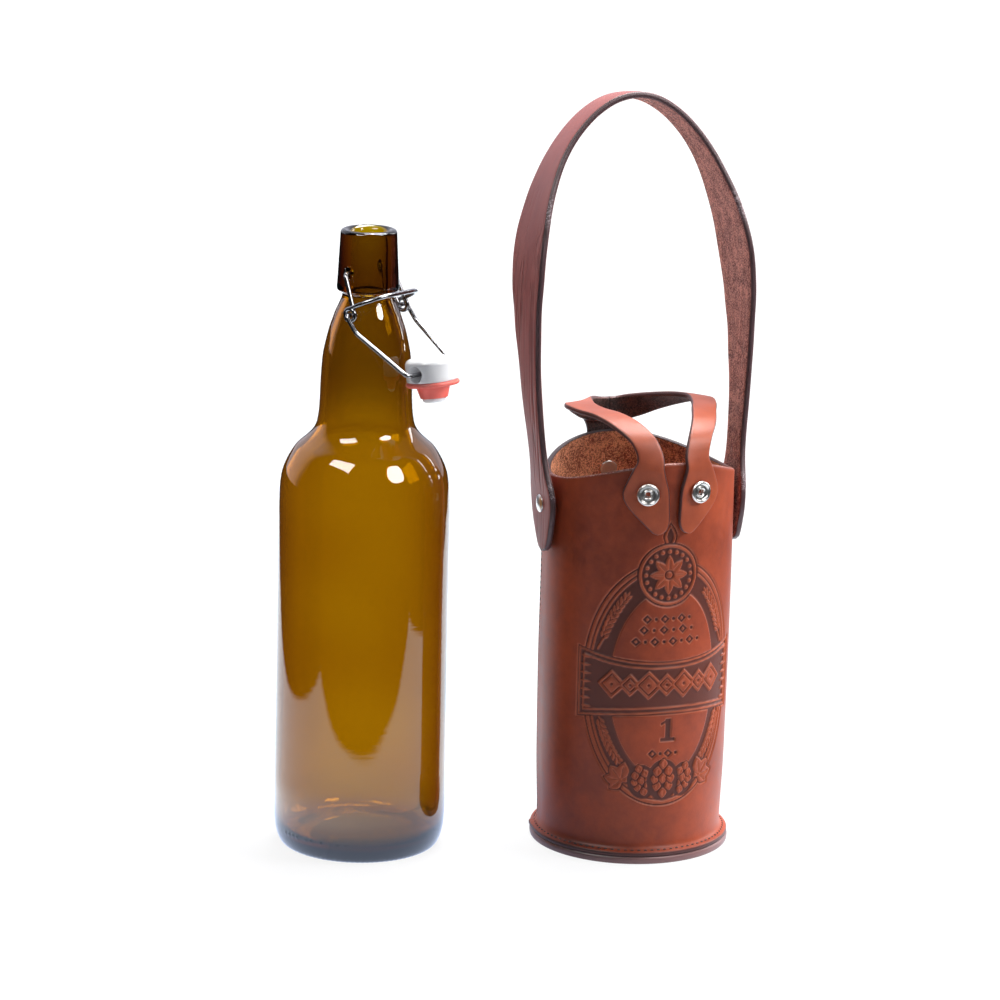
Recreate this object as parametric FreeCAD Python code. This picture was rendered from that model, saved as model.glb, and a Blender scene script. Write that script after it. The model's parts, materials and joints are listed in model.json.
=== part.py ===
"""Swing-top beer bottle with its leather carrier standing beside it.

Millimetres, Z up.  The origin is the middle of the underside of the carrier's sole.
The carrier's front faces -Y and its two handle rivets lie along X.  The bottle stands
to the left of the carrier; its wire closure hangs open.  Each piece is built where it
stands: the bottle and its closure in a frame of their own (axis at the origin, swing
direction +X, hinge direction Y), then turned and moved to the bottle's place.
"""
import FreeCAD, Part
import math
import os

V = FreeCAD.Vector
Z_AXIS = V(0, 0, 1)

# ---------------------------------------------------------------- bottle, driving sizes
bottle_r = 44.0             # outside of the glass body
bottle_h = 320.0            # height over the lip
glass_t = 3.6               # wall of the body
neck_t = 3.2                # wall of the sleeve and neck
heel_r = 8.5                # rounding between body and base
push_up = 5.0               # how far the base is domed inwards
shoulder_drop = 142.0       # lip down to where the body starts to round over
shoulder_mid_drop = 125.0   # lip down to the middle of the shoulder's curve
shoulder_mid_r = 42.0
shoulder_end_drop = 109.7   # lip down to the end of the shoulder's curve
shoulder_end_r = 33.5
cove_mid_drop = 104.0       # hollow curve from the shoulder into the sleeve
cove_mid_r = 27.2
sleeve_low_drop = 96.0      # straight sleeve that a hand or a strap closes round
sleeve_low_r = 23.7
sleeve_top_drop = 73.5
sleeve_top_r = 23.15
neck_mid_drop = 57.5        # convex curve from the sleeve into the tapered neck
neck_mid_r = 21.0
neck_end_drop = 46.7
neck_end_r = 18.0
throat_drop = 33.0          # thinnest place, right under the finish
throat_r = 12.9
finish_h = 31.5             # height of the heavy collar at the mouth
finish_low_r = 15.75
finish_top_r = 14.2
lip_round = 1.6
bore_r = 8.9
bore_round = 2.4
dimple_drop = 20.7          # lip down to the closure's pivot
dimple_mouth_r = 3.2
dimple_depth = 3.4
dimple_seat_depth = 1.4     # straight blind hole at the bottom of the dimple

# ---------------------------------------------------------------- wire closure
wire_r = 1.15               # round steel wire
pivot_play = 0.12           # wire end in its seat in the glass
eye_ring_r = 3.05           # centre line of the coiled eye
eye_drop = 19.5             # pivot down to the eye
eye_lead = 5.9              # eye ahead of the pivot, towards the swing side
eye_half = 20.0             # eye from the middle plane
lever_leg_top_half = 17.6   # lever leg from the middle plane, at the pivot
lever_end_clear = 0.5       # wire end short of the bottom of its seat
thumb_rise = 10.6           # thumb loop above the eye at its furthest point
thumb_reach = 16.0          # thumb loop ahead of the eye
thumb_bend_r = 14.0
leg_bend_r = 2.6
bail_leg_half = 22.9        # bail leg from the middle plane, outside the eye
bail_knee_run = 6.5         # eye to the knee of the bail leg, along the swing direction
bail_knee_drop = 7.7
bail_run = 36.9             # eye to the cross wire
bail_drop = 25.9
bail_toe_half = 18.4        # bail leg from the middle plane at the cross wire
bail_hook_half = 16.9       # inner end of the pin that goes through the eye
bail_hook_len = 3.6         # upturned tip behind the eye
bail_knee_bend_r = 9.0

# ---------------------------------------------------------------- stopper
knob_r = 13.0
knob_up = 7.0               # top of the knob above the cross wire
knob_down = 4.6             # underside of the knob below the cross wire
knob_round = 3.2
knob_low_round = 1.0
cross_play = 0.10           # cross wire in the knob's bore
cross_mouth_r = 4.3         # funnel at each end of the cross bore
cross_funnel_depth = 6.5
washer_r = 13.4
washer_t = 2.4
plug_top_r = 8.6            # tapered rubber plug that enters the bore
plug_low_r = 6.9
plug_h = 6.0
spigot_r = 4.6              # ceramic stem inside the rubber
nub_r = 5.9                 # ceramic button that keeps the rubber on
nub_h = 2.2
stopper_tilt = -9.0         # the loose stopper hangs a little askew, degrees

# ---------------------------------------------------------------- carrier, driving sizes
fit_gap = 0.6               # bottle to leather, radially
leather_t = 2.8
sole_t = 3.8
welt_w = 3.8                # flange outside the wall's foot, stitched to the sole
foot_round = 4.2            # outside curve from the wall into the welt
foot_inner_round = 3.0
rim_front_h = 209.3
rim_side_h = 195.3
rim_back_h = 205.7
wall_belly = 1.0            # wall swells this much by the middle of its height

carrier_r = bottle_r + fit_gap + leather_t      # outside of the wall at its foot
sole_r = carrier_r + welt_w

# ---------------------------------------------------------------- handle strap
strap_t = 3.3
handle_lean = 8.0           # degrees, back from upright, about the rivets
rivet_drop = 14.9           # rivet axis below the rim at the side
tab_gap = 1.6               # wall to tab at its middle
limb_out = 5.6              # limb further out than the tab at its widest height
limb_h = 95.0               # rivet axis up to the widest height
crown_h = 206.8             # rivet axis up to the top of the crown
crown_shift = -2.0          # highest point of the crown, to one side of the middle
fullness_left = 0.67        # how squarely each half of the crown turns over
fullness_right = 0.58
tab_drop = 24.5             # rivet axis down to the tip of the tab
tab_half = 15.4
tab_tip_round = 4.0
waist_h = 27.0
waist_half = 10.3
limb_low_h = 63.0
limb_low_half = 12.7
shoulder_h = 130.0          # widest place of the strap
shoulder_half = 21.8
grip_h = 172.0
grip_half = 14.3
crown_half = 12.3
tab_bend_h = 4.0            # rivet axis up to where the tab bends into the limb

# ---------------------------------------------------------------- rivets and snaps
rivet_pin_r = 2.0
rivet_play = 0.10           # strap hole round the rivet pin
rivet_cap_r = 4.6
rivet_cap_h = 1.7
rivet_seat = 0.12           # cap to leather
snap_r = 5.75
snap_h = 1.5
snap_ring_r = 2.9
snap_hole_r = 1.35
snap_barrel_r = 2.1
washer_rim_r = 4.2
washer_rim_t = 0.8

# ---------------------------------------------------------------- neck strap
neck_strap_t = 2.5
neck_strap_gap = 0.3        # strap to the wall it is fixed on
arm_w = 14.6
back_tab_half = 10.75
back_rivet_drop = 21.0      # below the rim at the back
back_tab_low = 12.0         # tab below its rivet
fork_h = 7.0                # rim at the back up to the fork
fork_corner_r = 3.0         # hollow corner between tab and arm
flap_angle = 15.8           # snap from the middle of the front, degrees
snap_drop = 14.9            # snap below the rim at the front
flap_half = 12.2
flap_low = 20.5             # tip of the flap below its snap
arm_sections = 40           # cross-sections that the arm is lofted through

# ---------------------------------------------------------------- how the two stand
set_gap = 48.9              # clear floor between bottle and carrier
set_bearing = 169.5         # direction from carrier to bottle, degrees from +X
closure_bearing = -58.1     # direction in which the closure hangs, degrees from +X


def polar(radius, degrees, z=0.0):
    """Point at a radius and a bearing about the Z axis."""
    a = math.radians(degrees)
    return V(radius * math.cos(a), radius * math.sin(a), z)


bottle_place = FreeCAD.Placement(
    polar(bottle_r + carrier_r + wall_belly + set_gap, set_bearing),
    FreeCAD.Rotation(Z_AXIS, closure_bearing))


def line(a, b):
    """Straight edge."""
    return Part.makeLine(a, b)


def arc(a, mid, b):
    """Circular edge through three points."""
    return Part.Arc(a, mid, b).toShape()


def dome(rim, top):
    """Arc from a rim point up to the axis, level where it meets the axis."""
    rise = top.z - rim.z
    radius = (rim.x ** 2 + rise ** 2) / (2 * rise)
    half = math.asin(rim.x / radius) / 2
    return arc(rim, V(radius * math.sin(half), 0, top.z - radius * (1 - math.cos(half))), top)


def revolved(edges):
    """Solid of revolution about Z from a closed profile in the XZ plane."""
    return Part.Face(Part.Wire(edges)).revolve(V(0, 0, 0), Z_AXIS, 360)


def chain(points):
    """Straight edges through the points, closed back to the first one."""
    return [line(a, b) for a, b in zip(points, points[1:] + points[:1])]


def tangent_corner(a, corner, b, radius):
    """Start, middle and end of the arc that rounds a corner of a path."""
    u = (a - corner).normalize()
    w = (b - corner).normalize()
    half = u.getAngle(w) / 2
    reach = radius / math.tan(half)
    bisector = (u + w).normalize()
    centre = corner + bisector * (radius / math.sin(half))
    return corner + u * reach, centre - bisector * radius, corner + w * reach


def bent_wire(points, bends, radius):
    """Round wire along a route of points, each inner corner rounded by its own bend."""
    edges = []
    start = points[0]
    for a, corner, b, bend in zip(points, points[1:], points[2:], bends):
        first, middle, last = tangent_corner(a, corner, b, bend)
        edges += [line(start, first), arc(first, middle, last)]
        start = last
    edges.append(line(start, points[-1]))
    heading = points[1] - points[0]
    section = Part.Wire(Part.makeCircle(radius, points[0], heading))
    return Part.Wire(edges).makePipeShell([section], True, False)


def mirrored(shape):
    """The shape together with its mirror image across the XZ plane."""
    return shape.fuse(shape.mirror(V(0, 0, 0), V(0, 1, 0)))


# ==================================================================== bottle
def from_lip(radius, drop, inset=0.0):
    """Profile point of the glass, given its radius and its drop below the lip."""
    return V(radius - inset, 0, bottle_h - drop)


def neck_profile(inset):
    """Edges from the shoulder up to the throat, moved inwards by the glass thickness."""
    body = glass_t * inset
    neck = neck_t * inset
    lift = neck * 0.7
    p0 = from_lip(bottle_r, shoulder_drop, body)
    p1 = from_lip(shoulder_mid_r, shoulder_mid_drop + lift / 2, body * 0.95)
    p2 = from_lip(shoulder_end_r, shoulder_end_drop + lift, neck * 0.7)
    p3 = from_lip(cove_mid_r, cove_mid_drop + lift, neck * 0.85)
    p4 = from_lip(sleeve_low_r, sleeve_low_drop, neck)
    p5 = from_lip(sleeve_top_r, sleeve_top_drop, neck)
    p6 = from_lip(neck_mid_r, neck_mid_drop, neck)
    p7 = from_lip(neck_end_r, neck_end_drop, neck)
    p8 = from_lip(throat_r, throat_drop, throat_r - bore_r if inset else 0.0)
    return [arc(p0, p1, p2), arc(p2, p3, p4), line(p4, p5), arc(p5, p6, p7),
            line(p7, p8)], p0, p8


def bottle_glass():
    """One-piece glass bottle: domed base, shoulder, sleeve, throat, heavy finish."""
    k = 1 - math.sqrt(0.5)
    outer, shoulder, throat = neck_profile(0)
    inner, shoulder_in, throat_in = neck_profile(1)
    ring_r = bottle_r - heel_r * 0.62
    foot = V(ring_r, 0, 0)
    heel_mid = V(bottle_r - heel_r * 0.22, 0, heel_r * 0.33)
    heel_top = V(bottle_r, 0, heel_r)
    inner_floor = push_up + glass_t
    dome_edge_r = ring_r - 3.0
    dome_top = V(0, 0, push_up)
    dome_edge = V(dome_edge_r, 0, 0.6)
    floor_edge = V(bottle_r - glass_t - heel_r * 0.8, 0, glass_t + 1.4)
    floor_top = V(0, 0, inner_floor)
    wall_foot = V(bottle_r - glass_t, 0, glass_t + heel_r)
    floor_mid = V(wall_foot.x - heel_r * 0.8 * k, 0, floor_edge.z + heel_r * 0.9 * k)
    finish_foot = V(throat_r, 0, bottle_h - finish_h - 0.6)
    finish_low = V(finish_low_r - 0.5, 0, bottle_h - finish_h)
    finish_edge = V(finish_low_r, 0, bottle_h - finish_h + 0.8)
    lip_low = V(finish_top_r, 0, bottle_h - lip_round)
    lip_mid = V(finish_top_r - lip_round * k, 0, bottle_h - lip_round * k)
    lip_top = V(finish_top_r - lip_round, 0, bottle_h)
    bore_top = V(bore_r + bore_round, 0, bottle_h)
    bore_mid = V(bore_r + bore_round * k, 0, bottle_h - bore_round * k)
    bore_edge = V(bore_r, 0, bottle_h - bore_round)
    edges = [line(foot, dome_edge), dome(dome_edge, dome_top),
             line(dome_top, floor_top), dome(floor_edge, floor_top),
             arc(floor_edge, floor_mid, wall_foot), line(wall_foot, shoulder_in)]
    edges += inner
    edges += [line(throat_in, bore_edge), arc(bore_edge, bore_mid, bore_top),
              line(bore_top, lip_top), arc(lip_top, lip_mid, lip_low),
              line(lip_low, finish_edge), line(finish_edge, finish_low),
              line(finish_low, finish_foot), line(finish_foot, throat)]
    edges += outer
    edges += [line(shoulder, heel_top), arc(heel_top, heel_mid, foot)]
    return revolved(Part.__sortEdges__(edges)).cut(dimples())


def dimple_bottom():
    """Distance of the blind end of a dimple from the bottle's axis."""
    slope = (finish_low_r - finish_top_r) / finish_h
    return finish_top_r + slope * dimple_drop - dimple_depth


def dimples():
    """Two countersunk blind holes in the finish, for the ends of the lever wire."""
    bottom = dimple_bottom()
    seat_r = wire_r + pivot_play
    height = bottle_h - dimple_drop
    seat = Part.makeCylinder(seat_r, dimple_depth, V(0, bottom, height), V(0, 1, 0))
    cone_start = bottom + dimple_seat_depth
    cone_len = 2 * (dimple_depth - dimple_seat_depth)
    cone_end_r = seat_r + 2 * (dimple_mouth_r - seat_r)
    cone = Part.makeCone(seat_r, cone_end_r, cone_len, V(0, cone_start, height), V(0, 1, 0))
    return mirrored(seat.fuse(cone))


# ==================================================================== closure
pivot_z = bottle_h - dimple_drop
eye_at = V(eye_lead, eye_half, pivot_z - eye_drop)
cross_at = V(eye_lead + bail_run, 0, eye_at.z - bail_drop)


def closure_lever():
    """Lever: wire ends in the dimples, two legs, coiled eyes, thumb loop between."""
    top = eye_ring_r
    pin_end = V(0, dimple_bottom() + lever_end_clear, pivot_z)
    elbow = V(0, lever_leg_top_half, pivot_z)
    leg_foot = eye_at + V(eye_ring_r, 0, 0)
    leg = bent_wire([pin_end, elbow, leg_foot], [leg_bend_r], wire_r)
    eye = Part.makeTorus(eye_ring_r, wire_r, eye_at, V(0, 1, 0))
    rise = thumb_rise - top
    root = eye_at + V(-0.4, 0, top)
    knee = root + V(thumb_reach, 0, rise)
    far_root = V(root.x, -root.y, root.z)
    far_knee = V(knee.x, -knee.y, knee.z)
    thumb = bent_wire([root, knee, far_knee, far_root], [thumb_bend_r] * 2, wire_r)
    return mirrored(leg.fuse(eye)).fuse(thumb)


def bail_route(side):
    """Bail from its hooked tip through one eye and down to the cross wire."""
    def at(x, y, z):
        return V(eye_at.x + x, side * y, eye_at.z + z)
    return [at(-bail_hook_len * 0.6, bail_hook_half, bail_hook_len),
            at(0, bail_hook_half, 0),
            at(0, bail_leg_half, 0),
            at(bail_knee_run, bail_leg_half, -bail_knee_drop),
            at(bail_run, bail_toe_half, -bail_drop)]


def closure_bail():
    """Bail: one wire, hooked through both eyes, its middle run through the stopper."""
    near = bail_route(-1)
    far = bail_route(1)
    hook_bend = wire_r + 0.35
    eye_bend = wire_r + 0.55
    bends = [hook_bend, eye_bend, bail_knee_bend_r, leg_bend_r]
    return bent_wire(near + far[::-1], bends + bends[::-1], wire_r)


def stopper_frame(shape):
    """Puts a stopper part, modelled about its cross bore, where it hangs."""
    shape.rotate(V(0, 0, 0), V(0, 1, 0), stopper_tilt)
    shape.translate(cross_at)
    return shape


def stopper_knob():
    """Ceramic knob with a funnelled cross bore, and its stem with a button end."""
    foot = -knob_down
    low = foot - washer_t - plug_h
    k = 1 - math.sqrt(0.5)
    high, soft = knob_up, knob_low_round
    body = revolved([line(V(0, 0, foot), V(knob_r - soft, 0, foot)),
                     arc(V(knob_r - soft, 0, foot), V(knob_r - soft * k, 0, foot + soft * k),
                         V(knob_r, 0, foot + soft)),
                     line(V(knob_r, 0, foot + soft), V(knob_r, 0, high - knob_round)),
                     arc(V(knob_r, 0, high - knob_round),
                         V(knob_r - knob_round * k, 0, high - knob_round * k),
                         V(knob_r - knob_round, 0, high)),
                     line(V(knob_r - knob_round, 0, high), V(0, 0, high)),
                     line(V(0, 0, high), V(0, 0, foot))])
    stem = Part.makeCylinder(spigot_r, -low + foot, V(0, 0, low))
    button = Part.makeCylinder(nub_r, nub_h, V(0, 0, low - nub_h))
    rim = [e for e in button.Edges if e.CenterOfMass.z < low - nub_h / 2
           and e.Curve.TypeId == "Part::GeomCircle"]
    knob = body.fuse([stem, button.makeFillet(nub_h * 0.7, rim)])
    bore = Part.makeCylinder(wire_r + cross_play, 2 * knob_r + 2, V(0, -knob_r - 1, 0),
                             V(0, 1, 0))
    slope = (cross_mouth_r - wire_r - cross_play) / cross_funnel_depth
    start = knob_r - cross_funnel_depth
    reach = cross_funnel_depth + 1.5
    funnel = Part.makeCone(wire_r + cross_play, wire_r + cross_play + slope * reach, reach,
                           V(0, start, 0), V(0, 1, 0))
    knob = knob.cut([bore, mirrored(funnel)])
    return stopper_frame(knob)


def stopper_washer():
    """Rubber seal: a flange over the lip and a tapered plug in the bore."""
    top = -knob_down
    flange = top - washer_t
    low = flange - plug_h
    edge = washer_t / 2
    profile = [line(V(spigot_r, 0, top), V(washer_r - edge, 0, top)),
               arc(V(washer_r - edge, 0, top), V(washer_r, 0, top - edge),
                   V(washer_r - edge, 0, flange)),
               line(V(washer_r - edge, 0, flange), V(plug_top_r, 0, flange)),
               line(V(plug_top_r, 0, flange), V(plug_low_r, 0, low)),
               line(V(plug_low_r, 0, low), V(spigot_r, 0, low)),
               line(V(spigot_r, 0, low), V(spigot_r, 0, top))]
    return stopper_frame(revolved(profile))


# ==================================================================== carrier
belly_z = (rim_side_h + sole_t) / 2
rivet_z = rim_side_h - rivet_drop
snap_z = rim_front_h - snap_drop
back_rivet_z = rim_back_h - back_rivet_drop
wall_r = carrier_r + wall_belly          # outside of the wall up where straps are fixed
tab_x = wall_r + tab_gap + strap_t       # outside of the handle's tabs


def carrier_sole():
    """Round sole under the wall and its welt."""
    return Part.makeCylinder(sole_r, sole_t)


def wall_profile():
    """Section of the wall: welt, foot curve, slightly bellied wall."""
    top = max(rim_front_h, rim_back_h) + 5
    welt_top = sole_t + leather_t
    k = 1 - math.sqrt(0.5)
    foot_z = welt_top + foot_round
    inner = carrier_r - leather_t
    out_foot = V(carrier_r, 0, foot_z)
    in_foot = V(inner, 0, sole_t + foot_inner_round)
    out_belly = V(wall_r, 0, belly_z)
    in_belly = V(wall_r - leather_t, 0, belly_z)
    curve = V(carrier_r + foot_round * k, 0, welt_top + foot_round * k)
    flat = V(carrier_r + foot_round, 0, welt_top)
    welt = V(sole_r, 0, welt_top)
    over = flat.x > welt.x
    edges = [line(V(inner + foot_inner_round, 0, sole_t), V(sole_r, 0, sole_t))]
    if over:
        lift = foot_round - math.sqrt(foot_round ** 2 - (flat.x - sole_r) ** 2)
        edge = V(sole_r, 0, welt_top + lift)
        edges += [line(V(sole_r, 0, sole_t), edge), arc(edge, curve, out_foot)]
    else:
        edges += [line(V(sole_r, 0, sole_t), welt), line(welt, flat),
                  arc(flat, curve, out_foot)]
    edges += [line(out_foot, out_belly), line(out_belly, V(wall_r, 0, top)),
              line(V(wall_r, 0, top), V(wall_r - leather_t, 0, top)),
              line(V(wall_r - leather_t, 0, top), in_belly), line(in_belly, in_foot),
              arc(in_foot, V(inner + foot_inner_round * k, 0,
                             sole_t + foot_inner_round * k),
                  V(inner + foot_inner_round, 0, sole_t))]
    return edges


def rim_cut():
    """What lies above the rim: the rim is high in front, low at the sides."""
    reach = wall_r + 20
    def edge_h(y):
        share = y / wall_r
        mean = (rim_front_h + rim_back_h) / 2
        return (rim_side_h + (mean - rim_side_h) * share ** 2
                - (rim_front_h - rim_back_h) / 2 * share)
    a, b = V(-reach, -reach, edge_h(-reach)), V(-reach, reach, edge_h(reach))
    sky = rim_front_h + 60
    face = Part.Face(Part.Wire([arc(a, V(-reach, 0, edge_h(0)), b),
                                line(b, V(-reach, reach, sky)),
                                line(V(-reach, reach, sky), V(-reach, -reach, sky)),
                                line(V(-reach, -reach, sky), a)]))
    return face.extrude(V(2 * reach, 0, 0))


def fixings():
    """Where each rivet or snap goes through: point on the wall's axis, direction."""
    return {"rivet_left": (V(0, 0, rivet_z), V(-1, 0, 0)),
            "rivet_right": (V(0, 0, rivet_z), V(1, 0, 0)),
            "rivet_back": (V(0, 0, back_rivet_z), V(0, 1, 0)),
            "snap_left": (V(0, 0, snap_z), polar(1, -90 - flap_angle)),
            "snap_right": (V(0, 0, snap_z), polar(1, -90 + flap_angle))}


def hole(name, radius):
    """Cutter for one fixing, from inside the wall out past the straps."""
    start, way = fixings()[name]
    return Part.makeCylinder(radius, wall_r, start + way * (wall_r / 2), way)


def carrier_body():
    """Leather wall with its flared, stitched foot and its dipping rim."""
    wall = revolved(Part.__sortEdges__(wall_profile())).cut(rim_cut())
    cutters = [hole(n, snap_barrel_r if "snap" in n else rivet_pin_r) for n in fixings()]
    return wall.cut(cutters)


# ==================================================================== handle strap
def crown_curve(side, half_span, top, fullness):
    """Quarter of the crown: upright at the limb, level at the crown's highest point."""
    apex = crown_shift
    start = V(side * half_span, 0, limb_h)
    lift = V(0, 0, fullness * (top - limb_h))
    end = V(apex, 0, top)
    reach = V(fullness * (side * half_span - apex), 0, 0)
    quarter = Part.BezierCurve()
    quarter.setPoles([start, start + lift, end + reach, end])
    return quarter.toShape()


def handle_band():
    """The strap's bent form as a band of even thickness, seen along its width."""
    span = tab_x + limb_out
    drop = limb_h - tab_bend_h
    limb_r = (drop ** 2 + limb_out ** 2) / (2 * limb_out)
    edges = []
    feet = []
    for inset in (0, strap_t):
        for side, fullness in ((-1, fullness_left), (1, fullness_right)):
            radius = limb_r - inset
            centre_x = span - limb_r
            foot_x = tab_x - inset
            join_z = limb_h - math.sqrt(radius ** 2 - (foot_x - centre_x) ** 2)
            half_turn = math.asin((limb_h - join_z) / radius) / 2
            foot = V(side * foot_x, 0, -tab_drop - 5)
            join = V(side * foot_x, 0, join_z)
            middle = V(side * (centre_x + radius * math.cos(half_turn)), 0,
                       limb_h - radius * math.sin(half_turn))
            shoulder = V(side * (span - inset), 0, limb_h)
            edges += [line(foot, join), arc(join, middle, shoulder),
                      crown_curve(side, span - inset, crown_h - inset, fullness)]
            feet.append(foot)
    edges += [line(feet[0], feet[2]), line(feet[1], feet[3])]
    face = Part.Face(Part.Wire(Part.__sortEdges__(edges)))
    width = 2 * shoulder_half + 10
    face.translate(V(0, -width / 2, 0))
    return face.extrude(V(0, width, 0))


def handle_outline():
    """The strap's width at each height: leaf-shaped tab, waist, shoulders, grip."""
    stations = [(-tab_drop * 0.62, tab_half * 0.62), (0, tab_half), (waist_h, waist_half),
                (limb_low_h, limb_low_half), (shoulder_h, shoulder_half),
                (grip_h, grip_half), (crown_h + 3, crown_half)]
    tip = V(0, 0, -tab_drop)
    side = Part.BSplineCurve()
    side.interpolate([V(0, half, z) for z, half in stations])
    low = V(0, stations[0][1], stations[0][0])
    round_mid = V(0, tab_tip_round * 0.8, -tab_drop + tab_tip_round * 0.35)
    right = [side.toShape(), arc_like(tip, round_mid, low)]
    left = [e.mirror(V(0, 0, 0), V(0, 1, 0)) for e in right]
    top_z = crown_h + 3
    cap = line(V(0, crown_half, top_z), V(0, -crown_half, top_z))
    face = Part.Face(Part.Wire(Part.__sortEdges__(right + left + [cap])))
    face.translate(V(-2 * tab_x, 0, 0))
    return face.extrude(V(4 * tab_x, 0, 0))


def arc_like(tip, mid, end):
    """Smooth edge from the level tip of the tab, through its rounding, to its side."""
    curve = Part.BSplineCurve()
    curve.interpolate([tip, mid, end])
    return curve.toShape()


def handle_strap():
    """Carrying strap: band cut to the strap's outline, leaning back on its rivets."""
    strap = handle_band().common(handle_outline())
    strap.rotate(V(0, 0, 0), V(1, 0, 0), -handle_lean)
    strap.translate(V(0, 0, rivet_z))
    return strap.cut([hole(n, rivet_pin_r + rivet_play)
                      for n in ("rivet_left", "rivet_right")])


# ==================================================================== rivets and snaps
def turned(name, sections):
    """Stacked turned sections (distance from the axis of the carrier, radius) as one
    revolved piece along a fixing's direction."""
    start, way = fixings()[name]
    points = [V(0, 0, sections[0][0])]
    points += [V(radius, 0, at) for at, radius in sections]
    points += [V(0, 0, sections[-1][0])]
    piece = revolved(chain(points))
    piece.Placement = FreeCAD.Placement(start, FreeCAD.Rotation(Z_AXIS, way))
    return piece


def rivet(name, outer_face):
    """Two-part rivet as set: domed cap, pin, flat cap inside the wall."""
    inner_face = wall_r - leather_t - rivet_seat
    cap = outer_face + rivet_seat
    rim = rivet_cap_r
    return turned(name, [(inner_face - washer_rim_t * 1.6, washer_rim_r * 0.72),
                         (inner_face - washer_rim_t, washer_rim_r),
                         (inner_face, washer_rim_r), (inner_face, rivet_pin_r),
                         (cap, rivet_pin_r), (cap, rim), (cap + 0.5, rim),
                         (cap + rivet_cap_h * 0.62, rim * 0.8),
                         (cap + rivet_cap_h * 0.9, rim * 0.5),
                         (cap + rivet_cap_h, rim * 0.2)])


def snap(name):
    """Ring snap: dished ring with a raised inner ring round a hole, barrel, washer."""
    inner_face = flat_inner_face()
    cap = wall_r + neck_strap_gap + neck_strap_t + rivet_seat
    start, way = fixings()[name]
    points = [(inner_face - washer_rim_t, snap_hole_r),
              (inner_face - washer_rim_t, washer_rim_r), (inner_face, washer_rim_r),
              (inner_face, snap_barrel_r), (cap, snap_barrel_r), (cap, snap_r),
              (cap + 0.45, snap_r), (cap + snap_h, snap_r * 0.86),
              (cap + snap_h, snap_r * 0.74), (cap + 0.5, snap_ring_r * 1.3),
              (cap + 0.5, snap_ring_r * 1.05), (cap + 1.15, snap_ring_r * 0.86),
              (cap + 1.15, snap_ring_r * 0.66), (cap + 0.7, snap_hole_r)]
    piece = revolved(chain([V(radius, 0, at) for at, radius in points]))
    piece.Placement = FreeCAD.Placement(start, FreeCAD.Rotation(Z_AXIS, way))
    return piece


def flat_inner_face():
    """Distance at which a flat washer clears the curved inside of the wall."""
    inside = wall_r - leather_t
    return math.sqrt(inside ** 2 - washer_rim_r ** 2) - rivet_seat


# ==================================================================== neck strap
def strap_section(inner, outer, along):
    """Rectangular section of the strap between its two edges, square to its run."""
    face = (inner - outer).cross(along).normalize() * (neck_strap_t / 2)
    return Part.Wire(chain([inner + face, outer + face, outer - face, inner - face]))


def arm_stations():
    """Run of the right arm from the back tab over its ridge to the tip of its flap:
    middle of the strap, direction of its inner edge, width."""
    mid_r = wall_r + neck_strap_gap + neck_strap_t / 2
    front = -90 + flap_angle
    inward = polar(1, front - 90)
    outward = polar(1, front)

    def flap(shift, above_snap):
        return outward * mid_r - inward * shift + V(0, 0, snap_z + above_snap)

    back = rim_back_h
    r = wall_r
    return [
        (V(0, mid_r, back + 10.5), V(0, 0, 1), arm_w),
        (V(6, mid_r - 0.2, back + 10.8), V(-0.15, 0, 1), arm_w),
        (V(0.28 * r, 0.94 * r, back + 13.6), V(-0.6, 0, 0.8), arm_w),
        (V(0.40 * r, 0.82 * r, back + 17.2), V(-0.85, 0.1, 0.52), arm_w),
        (V(0.52 * r, 0.57 * r, back + 21.0), V(-0.93, 0.1, 0.35), arm_w),
        (V(0.655 * r, 0.09 * r, back + 25.2), V(-1, -0.1, 0.2), arm_w),
        (V(0.53 * r, -0.42 * r, back + 24.6), V(-1, 0.2, 0.1), arm_w),
        (V(0.41 * r, -0.75 * r, back + 21.5), V(-1, 0.1, 0.15), arm_w),
        (V(0.30 * r, -0.93 * r, back + 14.5), V(-1, -0.1, 0.15), arm_w),
        (flap(-1.2, 19), inward, arm_w),
        (flap(-1.4, 12.5), inward, arm_w * 1.08),
        (flap(-0.6, 7), inward, flap_half * 1.75),
        (flap(0, 0), inward, flap_half * 2),
        (flap(-1.9, -flap_low * 0.35), inward, flap_half * 1.72),
        (flap(-4.6, -flap_low * 0.68), inward, flap_half * 1.2),
        (flap(-6.6, -flap_low * 0.88), inward, flap_half * 0.8),
        (flap(-7.2, -flap_low * 0.97), inward, flap_half * 0.46),
        (flap(-7.4, -flap_low), inward, flap_half * 0.2),
    ]


def strap_arm():
    """One arm of the neck strap, lofted between smooth curves for its two edges."""
    stations = arm_stations()
    half_ways = [V(way).normalize() * (width / 2) for _, way, width in stations]
    centres = [middle for middle, _, _ in stations]
    runs = [0.0]
    for a, b in zip(centres, centres[1:]):
        runs.append(runs[-1] + a.distanceToPoint(b))
    inner, outer = Part.BSplineCurve(), Part.BSplineCurve()
    inner.interpolate(Points=[c + h for c, h in zip(centres, half_ways)], Parameters=runs)
    outer.interpolate(Points=[c - h for c, h in zip(centres, half_ways)], Parameters=runs)
    sections = []
    for i in range(arm_sections + 1):
        at = runs[-1] * i / arm_sections
        along = inner.tangent(at)[0] + outer.tangent(at)[0] if i else V(1, 0, 0)
        sections.append(strap_section(inner.value(at), outer.value(at), along))
    return Part.makeLoft(sections, True, False)


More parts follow.
